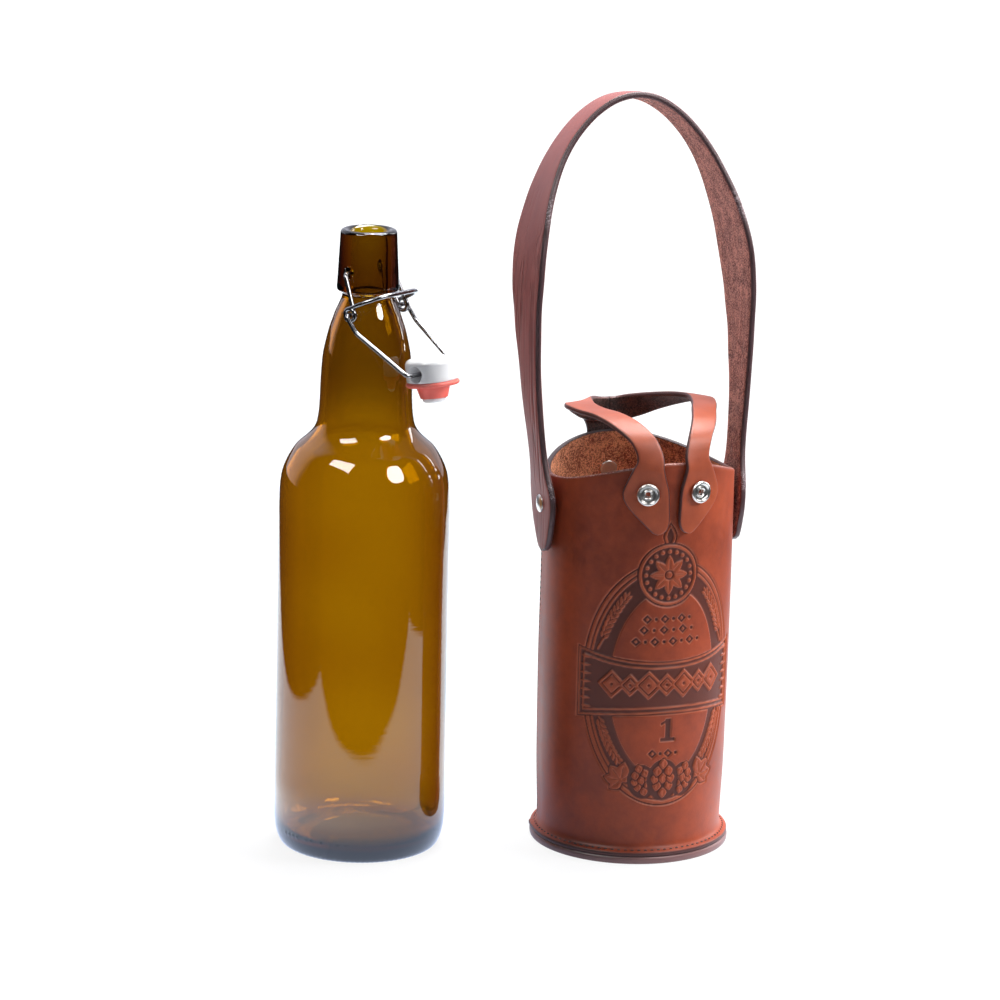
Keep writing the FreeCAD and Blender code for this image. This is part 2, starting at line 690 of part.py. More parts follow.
def back_tab():
    """Tab riveted to the back of the wall: rounded foot, hollow corners at the fork."""
    low = back_rivet_z - back_tab_low + back_tab_half
    corner = fork_corner_r
    top = rim_back_h + fork_h
    half = back_tab_half
    k = 1 - math.sqrt(0.5)

    def side_edges(side):
        neck = V(side * half, 0, top - corner)
        mid = V(side * (half + corner * k), 0, top - corner * k)
        wide = V(side * (half + corner), 0, top)
        return [line(V(side * half, 0, low), neck), arc(neck, mid, wide),
                line(wide, V(side * (half + corner), 0, top + 1))]

    lid = line(V(-half - corner, 0, top + 1), V(half + corner, 0, top + 1))
    foot = arc(V(-half, 0, low), V(0, 0, low - half), V(half, 0, low))
    edges = side_edges(-1) + side_edges(1) + [lid, foot]
    face = Part.Face(Part.Wire(Part.__sortEdges__(edges)))
    face.translate(V(0, wall_r + neck_strap_gap, 0))
    return face.extrude(V(0, neck_strap_t, 0))


def neck_strap():
    """Forked strap: back tab and two arms that come down to snaps on the front."""
    arm = strap_arm()
    other = arm.mirror(V(0, 0, 0), V(1, 0, 0))
    strap = back_tab().fuse([arm, other])
    cutters = [hole("rivet_back", rivet_pin_r)]
    cutters += [hole(n, snap_barrel_r) for n in ("snap_left", "snap_right")]
    return strap.cut(cutters)


# ==================================================================== the set
def nodes():
    """Every separate piece, by name, where it stands."""
    with_bottle = {"bottle_glass": bottle_glass(), "closure_lever": closure_lever(),
                   "closure_bail": closure_bail(), "stopper_knob": stopper_knob(),
                   "stopper_washer": stopper_washer()}
    for shape in with_bottle.values():
        shape.Placement = bottle_place.multiply(shape.Placement)
    strap_face = wall_r + neck_strap_gap + neck_strap_t
    with_carrier = {"carrier_sole": carrier_sole(), "carrier_body": carrier_body(),
                    "handle_strap": handle_strap(), "neck_strap": neck_strap(),
                    "rivet_left": rivet("rivet_left", tab_x),
                    "rivet_right": rivet("rivet_right", tab_x),
                    "rivet_back": rivet("rivet_back", strap_face),
                    "snap_left": snap("snap_left"), "snap_right": snap("snap_right")}
    return {**with_bottle, **with_carrier}


os.makedirs("parts", exist_ok=True)
for node, solid in nodes().items():
    if not solid.isValid() or len(solid.Solids) != 1:
        print("check", node, "valid", solid.isValid(), "solids", len(solid.Solids))
    solid.Solids[0].exportStep("parts/" + node + ".step")
    print(node, round(solid.Volume), "mm3")
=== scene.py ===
"""Swing-top bottle and its leather carrier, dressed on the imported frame.

Everything is in metres, Z up, in the frame of the carrier: its front faces -Y and the
bottle stands on its -X side.  Sizes inside the classes are in millimetres.
"""
import json
import logging
import math
from dataclasses import dataclass, field
from enum import Enum
from typing import Sequence

import bpy
import numpy as np
from mathutils import Matrix, Vector


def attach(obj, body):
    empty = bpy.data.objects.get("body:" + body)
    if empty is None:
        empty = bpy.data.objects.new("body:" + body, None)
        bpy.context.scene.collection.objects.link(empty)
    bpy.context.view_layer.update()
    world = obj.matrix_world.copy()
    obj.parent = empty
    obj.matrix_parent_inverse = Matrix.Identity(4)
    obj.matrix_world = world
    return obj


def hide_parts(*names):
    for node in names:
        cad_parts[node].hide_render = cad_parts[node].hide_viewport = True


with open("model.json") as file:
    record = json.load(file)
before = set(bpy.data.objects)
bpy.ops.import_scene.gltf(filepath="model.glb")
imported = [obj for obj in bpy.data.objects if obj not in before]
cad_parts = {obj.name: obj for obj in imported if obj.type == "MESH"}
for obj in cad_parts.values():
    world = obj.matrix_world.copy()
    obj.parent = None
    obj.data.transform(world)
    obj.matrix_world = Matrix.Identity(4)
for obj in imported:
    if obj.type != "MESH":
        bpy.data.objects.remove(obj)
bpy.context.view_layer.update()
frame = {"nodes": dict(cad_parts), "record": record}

MM = 0.001
LOG = logging.getLogger("carrier_scene")
Point = tuple[float, float, float]
Pair = tuple[float, float]
Mesh = tuple[np.ndarray, list[list[int]]]


def joint_place(name: str) -> Point:
    """Place of one of the record's joints, in millimetres."""
    joint = next(j for j in frame["record"]["behaviour"]["joints"] if j["name"] == name)
    return tuple(c / MM for c in joint["pos_m"])


BOTTLE_X, BOTTLE_Y, DIMPLE_Z = joint_place("lever_swing")
HANDLE_Z = joint_place("handle_swing")[2]
SNAP_Z = 194.4           # the two snaps, on the front of the wall
SNAP_BEARING = 15.8      # degrees to each side of the middle of the front
BACK_RIVET_Z = 184.7
WALL_R = 48.8            # outside of the wall, about halfway up


# ============================================================== curves and meshes
def smooth_path(points: Sequence[Sequence[float]], count: int) -> np.ndarray:
    """Even samples along a smooth curve through the points.

    Args:
        points: Points of any dimension that the curve passes through.
        count: How many samples to give back.

    Returns:
        Array of samples, evenly spaced along the curve.
    """
    p = np.asarray(points, float)
    step = np.sqrt(np.maximum(np.linalg.norm(np.diff(p, axis=0), axis=1), 1e-9))
    knot = np.concatenate([[0.0], np.cumsum(step)])
    head, tail = 2 * p[0] - p[1], 2 * p[-1] - p[-2]
    q = np.vstack([head, p, tail])
    t = np.concatenate([[-step[0]], knot, [knot[-1] + step[-1]]])
    fine = []
    for i in range(1, len(q) - 2):
        u = np.linspace(t[i], t[i + 1], 24, endpoint=False)[:, None]
        a1 = ((t[i] - u) * q[i - 1] + (u - t[i - 1]) * q[i]) / (t[i] - t[i - 1])
        a2 = ((t[i + 1] - u) * q[i] + (u - t[i]) * q[i + 1]) / (t[i + 1] - t[i])
        a3 = ((t[i + 2] - u) * q[i + 1] + (u - t[i + 1]) * q[i + 2]) / (t[i + 2] - t[i + 1])
        b1 = ((t[i + 1] - u) * a1 + (u - t[i - 1]) * a2) / (t[i + 1] - t[i - 1])
        b2 = ((t[i + 2] - u) * a2 + (u - t[i]) * a3) / (t[i + 2] - t[i])
        fine.append(((t[i + 1] - u) * b1 + (u - t[i]) * b2) / (t[i + 1] - t[i]))
    fine.append(q[-2][None, :])
    dense = np.vstack(fine)
    run = np.concatenate([[0.0], np.cumsum(np.linalg.norm(np.diff(dense, axis=0), axis=1))])
    even = np.linspace(0, run[-1], count)
    return np.stack([np.interp(even, run, dense[:, k]) for k in range(p.shape[1])], axis=1)


def unit(v: np.ndarray) -> np.ndarray:
    """The vectors at length one."""
    return v / np.maximum(np.linalg.norm(v, axis=-1, keepdims=True), 1e-12)


def smooth_step(low: float, high: float, x: np.ndarray) -> np.ndarray:
    """Rises smoothly from 0 at low to 1 at high."""
    t = np.clip((x - low) / (high - low), 0, 1)
    return t * t * (3 - 2 * t)


def value_noise(points: np.ndarray, scale: float, seed: int) -> np.ndarray:
    """Smooth noise between -1 and 1 at points, with one lump about every scale.

    Args:
        points: Array of positions, one row each.
        scale: Size of a lump, in the unit of the points.
        seed: Chooses the pattern.

    Returns:
        One value for each point.
    """
    lumps = 4096
    table = np.random.default_rng(seed).uniform(-1, 1, lumps)
    p = points / scale
    cell = np.floor(p).astype(int)
    part = p - cell
    part = part * part * (3 - 2 * part)
    total = np.zeros(len(p))
    for corner in range(2 ** p.shape[1]):
        weight = np.ones(len(p))
        key = np.zeros(len(p), int)
        for k in range(p.shape[1]):
            bit = (corner >> k) & 1
            weight = weight * (part[:, k] if bit else 1 - part[:, k])
            key = key * 31 + (cell[:, k] + bit) * (k * 2 + 7)
        total += weight * table[key % lumps]
    return total


def grid_faces(rows: int, cols: int, wrap_rows: bool, wrap_cols: bool) -> np.ndarray:
    """Quads of a grid of vertices numbered row by row.

    Args:
        rows: How many rows there are.
        cols: How many vertices a row holds.
        wrap_rows: Joins the last row to the first.
        wrap_cols: Joins the end of each row to its start.

    Returns:
        One row of four vertex numbers for each quad.
    """
    r = np.arange(rows if wrap_rows else rows - 1)
    c = np.arange(cols if wrap_cols else cols - 1)
    rr, cc = np.meshgrid(r, c, indexing="ij")
    r2, c2 = (rr + 1) % rows, (cc + 1) % cols
    quads = np.stack([rr * cols + cc, rr * cols + c2, r2 * cols + c2, r2 * cols + cc], -1)
    return quads.reshape(-1, 4)


def end_caps(rings: int, count: int) -> list[list[int]]:
    """One face for each end of a skin made of rings with count vertices each."""
    last = (rings - 1) * count
    return [list(range(count))[::-1], [last + k for k in range(count)]]


def make_piece(name: str, verts_mm: np.ndarray, faces: Sequence[Sequence[int]], body: str,
               finish: bpy.types.Material,
               marks: dict[str, np.ndarray] | None = None) -> bpy.types.Object:
    """Makes a smooth-shaded mesh piece that rides on a body.

    Args:
        name: Name of the piece.
        verts_mm: Vertices in millimetres.
        faces: Vertex numbers of each face.
        body: CAD body that the piece moves with.
        finish: Material of the piece.
        marks: Values per vertex that the finish reads, by name.

    Returns:
        The new object.
    """
    mesh = bpy.data.meshes.new(name)
    mesh.from_pydata((np.asarray(verts_mm) * MM).tolist(), [],
                     [[int(i) for i in f] for f in faces])
    mesh.validate()
    for mark, values in (marks or {}).items():
        layer = mesh.attributes.new(mark, "FLOAT", "POINT")
        layer.data.foreach_set("value", np.asarray(values, np.float32))
    mesh.materials.append(finish)
    mesh.shade_smooth()
    piece = bpy.data.objects.new(name, mesh)
    bpy.context.scene.collection.objects.link(piece)
    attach(piece, body)
    LOG.info("%s: %d faces on %s", name, len(mesh.polygons), body)
    return piece


def lathe(profile: np.ndarray, segments: int) -> Mesh:
    """Turns a profile about the Z axis.

    Args:
        profile: Rows of (radius, height); both ends lie close to the axis.
        segments: Steps round the axis.

    Returns:
        Vertices, ring by ring, and the faces with their two end caps.
    """
    turn = np.linspace(0, 2 * math.pi, segments, endpoint=False)
    ring = np.stack([np.cos(turn), np.sin(turn)], 1)
    verts = np.concatenate([profile[:, None, :1] * ring[None], np.broadcast_to(
        profile[:, None, 1:], (len(profile), segments, 1))], axis=2)
    faces = grid_faces(len(profile), segments, False, True).tolist()
    return verts.reshape(-1, 3), faces + end_caps(len(profile), segments)


def swept_tube(path: np.ndarray, radii: np.ndarray, sides: int) -> Mesh:
    """Round closed tube along a path, with a frame that doesn't twist.

    Args:
        path: Points of the centre line.
        radii: Radius of the tube at each point.
        sides: Vertices round the tube.

    Returns:
        Vertices and faces.
    """
    along = unit(np.gradient(path, axis=0))
    across = unit(np.cross(along[0], [0.123, 0.456, 0.881]))
    rings = []
    turn = np.linspace(0, 2 * math.pi, sides, endpoint=False)[:, None]
    for centre, way, r in zip(path, along, radii):
        across = unit(across - way * np.dot(across, way))
        up = np.cross(way, across)
        rings.append(centre + r * (np.cos(turn) * across + np.sin(turn) * up))
    faces = grid_faces(len(path), sides, False, True).tolist()
    return np.vstack(rings), faces + end_caps(len(path), sides)


# ============================================================== shader writing
class Shade:
    """A value inside a material; arithmetic on it adds the Math nodes."""

    def __init__(self, finish: "Finish", socket: bpy.types.NodeSocket) -> None:
        """Keeps the socket and the finish that it belongs to."""
        self.finish = finish
        self.socket = socket

    def _math(self, operation: str, first: object, second: object = 0.0) -> "Shade":
        """A Math node on two values or sockets.

        Args:
            operation: Blender's name of the sum.
            first: A value or a Shade.
            second: A value or a Shade.

        Returns:
            Its result.
        """
        node = self.finish.node("ShaderNodeMath", {"operation": operation},
                                {0: first, 1: second})
        return Shade(self.finish, node.outputs[0])

    def __add__(self, other: object) -> "Shade":
        """Sum."""
        return self._math("ADD", self, other)

    __radd__ = __add__

    def __mul__(self, other: object) -> "Shade":
        """Product."""
        return self._math("MULTIPLY", self, other)

    __rmul__ = __mul__

    def __sub__(self, other: object) -> "Shade":
        """Difference."""
        return self._math("SUBTRACT", self, other)

    def __rsub__(self, other: object) -> "Shade":
        """Difference, with this value taken away."""
        return self._math("SUBTRACT", other, self)

    def most(self, other: object) -> "Shade":
        """The larger of two values."""
        return self._math("MAXIMUM", self, other)

    def between(self, low: float, high: float) -> "Shade":
        """0 below low, 1 above high, a smooth rise between.

        Args:
            low: Where the rise starts.
            high: Where it ends.

        Returns:
            The share.
        """
        node = self.finish.node("ShaderNodeMapRange", {"interpolation_type": "SMOOTHSTEP"},
                                {"Value": self, "From Min": low, "From Max": high})
        return Shade(self.finish, node.outputs["Result"])


class Finish:
    """A material whose nodes are written from code."""

    store = "materials"
    output = "ShaderNodeOutputMaterial"

    def __init__(self, name: str) -> None:
        """Starts it empty.

        Args:
            name: Name of the material.
        """
        self.material = getattr(bpy.data, self.store).new(name)
        self.material.use_nodes = True
        self.tree = self.material.node_tree
        self.tree.nodes.clear()
        self.out = self.node(self.output)

    def node(self, kind: str, settings: dict[str, object] | None = None,
             inputs: dict[str | int, object] | None = None) -> bpy.types.Node:
        """Adds a node.

        Args:
            kind: Blender's type of the node.
            settings: Settings to make first.
            inputs: Values, or sockets to link, by the input's name or number.

        Returns:
            The node.
        """
        node = self.tree.nodes.new(kind)
        for key, value in (settings or {}).items():
            setattr(node, key, value)
        for key, value in (inputs or {}).items():
            socket = node.inputs[key]
            if isinstance(value, Shade):
                value = value.socket
            if isinstance(value, bpy.types.NodeSocket):
                self.tree.links.new(value, socket)
            elif isinstance(value, tuple) and socket.type == "RGBA":
                socket.default_value = (*value, 1.0)
            else:
                socket.default_value = value
        return node

    def vector(self, operation: str, first: object, second: object) -> bpy.types.Node:
        """A Vector Math node on two vectors."""
        return self.node("ShaderNodeVectorMath", {"operation": operation},
                         {0: first, 1: second})

    def place(self, stretch: Point = (1.0, 1.0, 1.0)) -> bpy.types.NodeSocket:
        """Position on the object in millimetres, stretched by a factor on each axis."""
        at = self.node("ShaderNodeTexCoord").outputs["Object"]
        return self.vector("MULTIPLY", at, tuple(s / MM for s in stretch)).outputs[0]

    def height(self) -> Shade:
        """Height on the object in millimetres."""
        split = self.node("ShaderNodeSeparateXYZ", None, {0: self.place()})
        return Shade(self, split.outputs[2])

    def away(self, middle: Point, stretch: Point = (1.0, 1.0, 1.0)) -> Shade:
        """Distance from a point in millimetres."""
        node = self.vector("DISTANCE", self.place(stretch), middle)
        return Shade(self, node.outputs["Value"])

    def along(self, vector: object, way: Point) -> Shade:
        """How far a vector reaches along a way."""
        return Shade(self, self.vector("DOT_PRODUCT", vector, way).outputs["Value"])

    def ray(self, kind: str) -> Shade:
        """1 for light paths of one kind, such as Glossy."""
        return Shade(self, self.node("ShaderNodeLightPath").outputs[f"Is {kind} Ray"])

    def noise(self, size: float, detail: float = 2.0, rough: float = 0.5,
              stretch: Point = (1.0, 1.0, 1.0), warp: float = 0.0) -> Shade:
        """Noise between 0 and 1 with lumps of about size millimetres.

        Args:
            size: Size of a lump.
            detail: How many finer layers lie on it.
            rough: Strength of the finer layers.
            stretch: Factor on each axis.
            warp: How far the lumps are pulled about.

        Returns:
            The noise.
        """
        node = self.node("ShaderNodeTexNoise", None, {
            "Vector": self.place(stretch), "Scale": 1 / size, "Detail": detail,
            "Roughness": rough, "Distortion": warp})
        return Shade(self, node.outputs["Fac"])

    def cells(self, size: float) -> Shade:
        """Distance inside random cells of about size millimetres.

        Args:
            size: Size of a cell.

        Returns:
            The distance, 0 in the middle of a cell.
        """
        node = self.node("ShaderNodeTexVoronoi", None,
                         {"Vector": self.place(), "Scale": 1 / size})
        return Shade(self, node.outputs["Distance"])

    def mark(self, name: str) -> Shade:
        """A value that the mesh carries on its vertices."""
        node = self.node("ShaderNodeAttribute", {"attribute_name": name})
        return Shade(self, node.outputs["Fac"])

    def blend(self, share: object, first: object, second: object) -> bpy.types.NodeSocket:
        """Mixes two colours by a share between 0 and 1."""
        return self.node("ShaderNodeMix", {"data_type": "RGBA"},
                         {0: share, 6: first, 7: second}).outputs[2]

    def bump(self, height: Shade, depth: float) -> bpy.types.NodeSocket:
        """Normal of a surface whose relief is depth millimetres where height is 1."""
        return self.node("ShaderNodeBump", None, {
            "Height": height, "Distance": depth * MM, "Strength": 1.0}).outputs["Normal"]

    def choose(self, share: Shade, first: bpy.types.NodeSocket,
               second: bpy.types.NodeSocket) -> bpy.types.NodeSocket:
        """Goes over from one shader to another by a share between 0 and 1."""
        return self.node("ShaderNodeMixShader", None,
                         {0: share, 1: first, 2: second}).outputs[0]

    def end(self, shader: bpy.types.NodeSocket, use: str = "Surface") -> bpy.types.ID:
        """Ends the nodes in a shader and gives back the material or world."""
        self.tree.links.new(shader, self.out.inputs[use])
        return self.material

    def surface(self, **inputs: object) -> bpy.types.Material:
        """Ends the material in a Principled shader; underscores stand for spaces."""
        named = {key.replace("_", " "): value for key, value in inputs.items()}
        return self.end(self.node("ShaderNodeBsdfPrincipled", None, named).outputs[0])


class Surroundings(Finish):
    """The world, written in the same way as a material."""

    store = "worlds"
    output = "ShaderNodeOutputWorld"


# ============================================================== finishes
@dataclass(frozen=True)
class AmberGlass:
    """Brown bottle glass, clear through its thickness, with a darker neck and collar, a darker
    bluish disc of painted shade in its floor, set towards the front right, and a glossier
    heel."""

    depth_colour: Point = (0.855, 0.763, 0.0)
    density: float = 1280.0
    body_tint: Point = (1.0, 0.99, 0.97)
    neck_tint: Point = (0.57, 0.51, 0.60)
    neck_from: Pair = (205.0, 250.0)
    collar_tint: Point = (0.84, 1.0, 1.0)
    collar_from: Pair = (287.5, 289.5)
    # painted shade: tint, centre and extent of a darker bluish disc in the glass floor
    floor_shade_tint: Point = (0.22, 0.28, 1.0)
    floor_shade_middle: Point = (-127.6, 7.6, 0.0)
    floor_edge: Pair = (40.3, 41.8)
    floor_to: Pair = (9.0, 16.0)
    # near-black tint of the heel dots: painted shade
    dot_shade_tint: Point = (0.02, 0.02, 0.03)
    heel: Pair = (16.0, 40.0)
    bend: float = 1.56

    def material(self) -> bpy.types.Material:
        """Builds the material.

        Returns:
            The material.
        """
        f = Finish("amber_glass")
        ripple = f.noise(26.0, 1.0, stretch=(1.0, 1.0, 0.35)) + f.noise(
            2.6, 1.0, stretch=(0.15, 0.15, 1.0)) * 0.10
        height = f.height()
        tint = f.blend(height.between(*self.neck_from), self.body_tint, self.neck_tint)
        tint = f.blend(height.between(*self.collar_from), tint, self.collar_tint)
        # painted shade: a darker bluish disc in the floor of the glass
        out = f.away(self.floor_shade_middle, (1.0, 1.0, 0.0))
        floor = (1 - height.between(*self.floor_to)) * (1 - out.between(*self.floor_edge))
        tint = f.blend(floor, tint, self.floor_shade_tint)
        # painted shade: the heel dots are tinted near black
        tint = f.blend(f.mark("speck"), tint, self.dot_shade_tint)
        depth = f.node("ShaderNodeVolumeAbsorption", None,
                       {"Color": self.depth_colour, "Density": self.density})
        f.end(depth.outputs[0], "Volume")
        return f.surface(
            Base_Color=tint, Roughness=0.0, IOR=self.bend, Transmission_Weight=1.0,
            Coat_Weight=1 - height.between(*self.heel), Coat_IOR=self.bend,
            Coat_Roughness=0.03, Normal=f.bump(ripple, 0.12))


class Side(Enum):
    """Which piece of leather a finish is for."""

    WALL = "wall"
    STRAP = "strap"
    HANDLE = "handle"
    SOLE = "sole"


@dataclass(frozen=True)
class Leather:
    """Waxed vegetable-tanned leather: smooth grain side, rough flesh side, burnished edges,
    painted highlights and crease shade.  Marks on the mesh: stamp, flesh, edge, worn and lit
    edges."""

    side: Side
    grain: Point
    grain_dark: Point
    flesh: Point
    flesh_dark: Point
    edge: Point = (0.040, 0.020, 0.024)
    stamp: Point = (0.082, 0.022, 0.016)
    # paler colour along the edges of stamped marks: painted highlight
    stamp_rim_highlight: Point = (0.66, 0.17, 0.075)
    # colour of worn edges, and of the painted highlights that share their mark
    worn_and_lit: Point = (0.40, 0.31, 0.33)
    streaks: Point = (1.0, 1.0, 1.0)
    creases: float = 0.0
    shine: float = 1.0

    def material(self) -> bpy.types.Material:
        """Builds the material.

        Returns:
            The material.
        """
        f = Finish(f"leather_{self.side.value}")
        clouds = f.noise(34.0, 3.0, 0.55, self.streaks)
        mottle = f.noise(5.5, 3.0, 0.6, self.streaks)
        pores = f.cells(0.85)
        fine = f.noise(0.55, 2.0, 0.6)
        tone = (clouds * 0.75 + mottle * 0.45 - 0.1).between(0.25, 0.8)
        grain = f.blend(tone, self.grain_dark, self.grain)
        upright = 1 - f.height().between(290.0, 350.0)
        folds = f.noise(6.0, 1.0, 0.5, (1.0, 1.0, 0.022), 0.15)
        crease = ((folds - 0.5).most(0.5 - folds) * -16.0 + 1.0).between(0.0, 1.0)
        crease = crease * f.noise(24.0, 2.0).between(0.36, 0.56) * self.creases * upright
        # painted shade: the creases are darkened with the stamp colour
        grain = f.blend(crease * 0.45, grain, self.stamp)
        fibre = f.noise(0.9, 3.0, 0.75)
        patch = f.noise(7.0, 4.0, 0.65)
        speck = (fibre * 0.85 + patch * 0.35).between(0.50, 0.70)
        flesh = f.blend(speck, self.flesh_dark, self.flesh)
        stamp = f.mark("stamp")
        fleshy = f.mark("flesh")
        edged = f.mark("edge")
        # this mark holds worn edges and painted highlights where edges face the light
        worn_and_lit = f.mark("wear_and_highlight") * f.noise(1.0, 3.0, 0.7).between(0.46, 0.62)
        # painted highlight: a paler band where the stamp's depth changes, along its edges
        rim = stamp * (1 - stamp) * 4.0
        colour = f.blend(rim * 0.45, grain, self.stamp_rim_highlight)
        colour = f.blend((stamp - 0.25).most(0.0) * 1.33, colour, self.stamp)
        colour = f.blend(fleshy, colour, flesh)
        colour = f.blend(edged, colour, self.edge)
        colour = f.blend(worn_and_lit, colour, self.worn_and_lit)
        gloss = (0.36 + mottle * 0.16 + stamp * 0.06) * (1 - fleshy) + fleshy * 0.85
        relief = (pores * 0.35 + fine * 0.5 + mottle * 0.6) * (1 - fleshy) * 0.05
        relief = relief - crease * 0.35
        nap = (fibre * 0.9 + fine * 0.5) * fleshy * 0.42
        return f.surface(Base_Color=colour, Roughness=gloss, IOR=1.5,
                         Specular_IOR_Level=0.5 * self.shine, Normal=f.bump(relief + nap, 1.0))


@dataclass(frozen=True)
class Metal:
    """Plated wire, or nickel of the rivets and snaps."""

    name: str
    colour: Point
    rough: float

    def material(self) -> bpy.types.Material:
        """Builds the material.

        Returns:
            The material.
        """
        f = Finish(self.name)
        scuffs = f.noise(1.1, 3.0, 0.6, (1.0, 1.0, 3.0))
        return f.surface(
            Base_Color=f.blend(scuffs, tuple(c * 0.86 for c in self.colour), self.colour),
            Metallic=1.0, Roughness=self.rough + scuffs * 0.12,
            Normal=f.bump(scuffs, 0.01))


@dataclass(frozen=True)
class Ceramic:
    """Glazed white stopper."""

    colour: Point = (0.89, 0.89, 0.90)

    def material(self) -> bpy.types.Material:
        """Builds the material.

        Returns:
            The material.
        """
        f = Finish("white_glaze")
        haze = f.noise(6.0, 2.0)
        return f.surface(Base_Color=f.blend(haze, tuple(c * 0.94 for c in self.colour),
                                            self.colour),
                         Roughness=0.12 + haze * 0.1, IOR=1.5, Coat_Weight=0.3,
                         Normal=f.bump(haze, 0.05))


@dataclass(frozen=True)
class Rubber:
    """Soft red seal."""

    colour: Point = (0.88, 0.135, 0.10)
    bloom_colour: Point = (0.93, 0.20, 0.16)

    def material(self) -> bpy.types.Material:
        """Builds the material.

        Returns:
            The material.
        """
        f = Finish("red_rubber")
        bloom = f.noise(2.5, 3.0)
        return f.surface(Base_Color=f.blend(bloom, self.colour, self.bloom_colour),
                         Roughness=0.38 + bloom * 0.2, IOR=1.5, Normal=f.bump(bloom, 0.04))


@dataclass(frozen=True)
class Thread:
    """Waxed dark brown thread."""

    colour: Point = (0.035, 0.012, 0.010)
    rubbed: Point = (0.07, 0.026, 0.02)

    def material(self) -> bpy.types.Material:
        """Builds the material.

        Returns:
            The material.
        """
        f = Finish("waxed_thread")
        twist = f.noise(0.4, 2.0)
        return f.surface(Base_Color=f.blend(twist, self.colour, self.rubbed),
                         Roughness=0.5 + twist * 0.2, Normal=f.bump(twist, 0.05))


@dataclass
class Palette:
    """Every finish, built once."""

    glass: bpy.types.Material = field(default_factory=AmberGlass().material)
    wire: bpy.types.Material = field(
        default_factory=Metal("plated_wire", (0.33, 0.33, 0.345), 0.17).material)
    nickel: bpy.types.Material = field(
        default_factory=Metal("nickel", (0.80, 0.77, 0.74), 0.24).material)
    ceramic: bpy.types.Material = field(default_factory=Ceramic().material)
    rubber: bpy.types.Material = field(default_factory=Rubber().material)
    thread: bpy.types.Material = field(default_factory=Thread().material)
    wall: bpy.types.Material = field(default_factory=Leather(
        Side.WALL, (0.38, 0.063, 0.020), (0.22, 0.036, 0.014),
        flesh=(0.93, 0.42, 0.23), flesh_dark=(0.26, 0.085, 0.045),
        # on the wall this colour is only the painted highlight along the front of the rim
        worn_and_lit=(0.72, 0.46, 0.38), shine=0.55).material)
    strap: bpy.types.Material = field(default_factory=Leather(
        Side.STRAP, (0.45, 0.082, 0.024), (0.33, 0.056, 0.018),
        # painted shade: the straps' flesh side is written far darker than the wall's, as it
        # looks in shadow
        flesh=(0.17, 0.075, 0.060), flesh_dark=(0.05, 0.022, 0.020),
        shine=1.15).material)
    handle: bpy.types.Material = field(default_factory=Leather(
        Side.HANDLE, (0.36, 0.100, 0.084), (0.25, 0.062, 0.056),
        flesh=(0.64, 0.27, 0.21), flesh_dark=(0.15, 0.052, 0.045),
        edge=(0.085, 0.042, 0.046), streaks=(1.0, 1.0, 0.18), creases=1.0,
        shine=0.9).material)
    sole: bpy.types.Material = field(default_factory=Leather(
        Side.SOLE, (0.10, 0.03, 0.02), (0.06, 0.02, 0.015),
        flesh=(0.30, 0.10, 0.032), flesh_dark=(0.055, 0.016, 0.008),
        # partly painted highlight: the burnished edge is written lighter for the light on the
        # sole's rim
        edge=(0.20, 0.085, 0.082), shine=1.2).material)


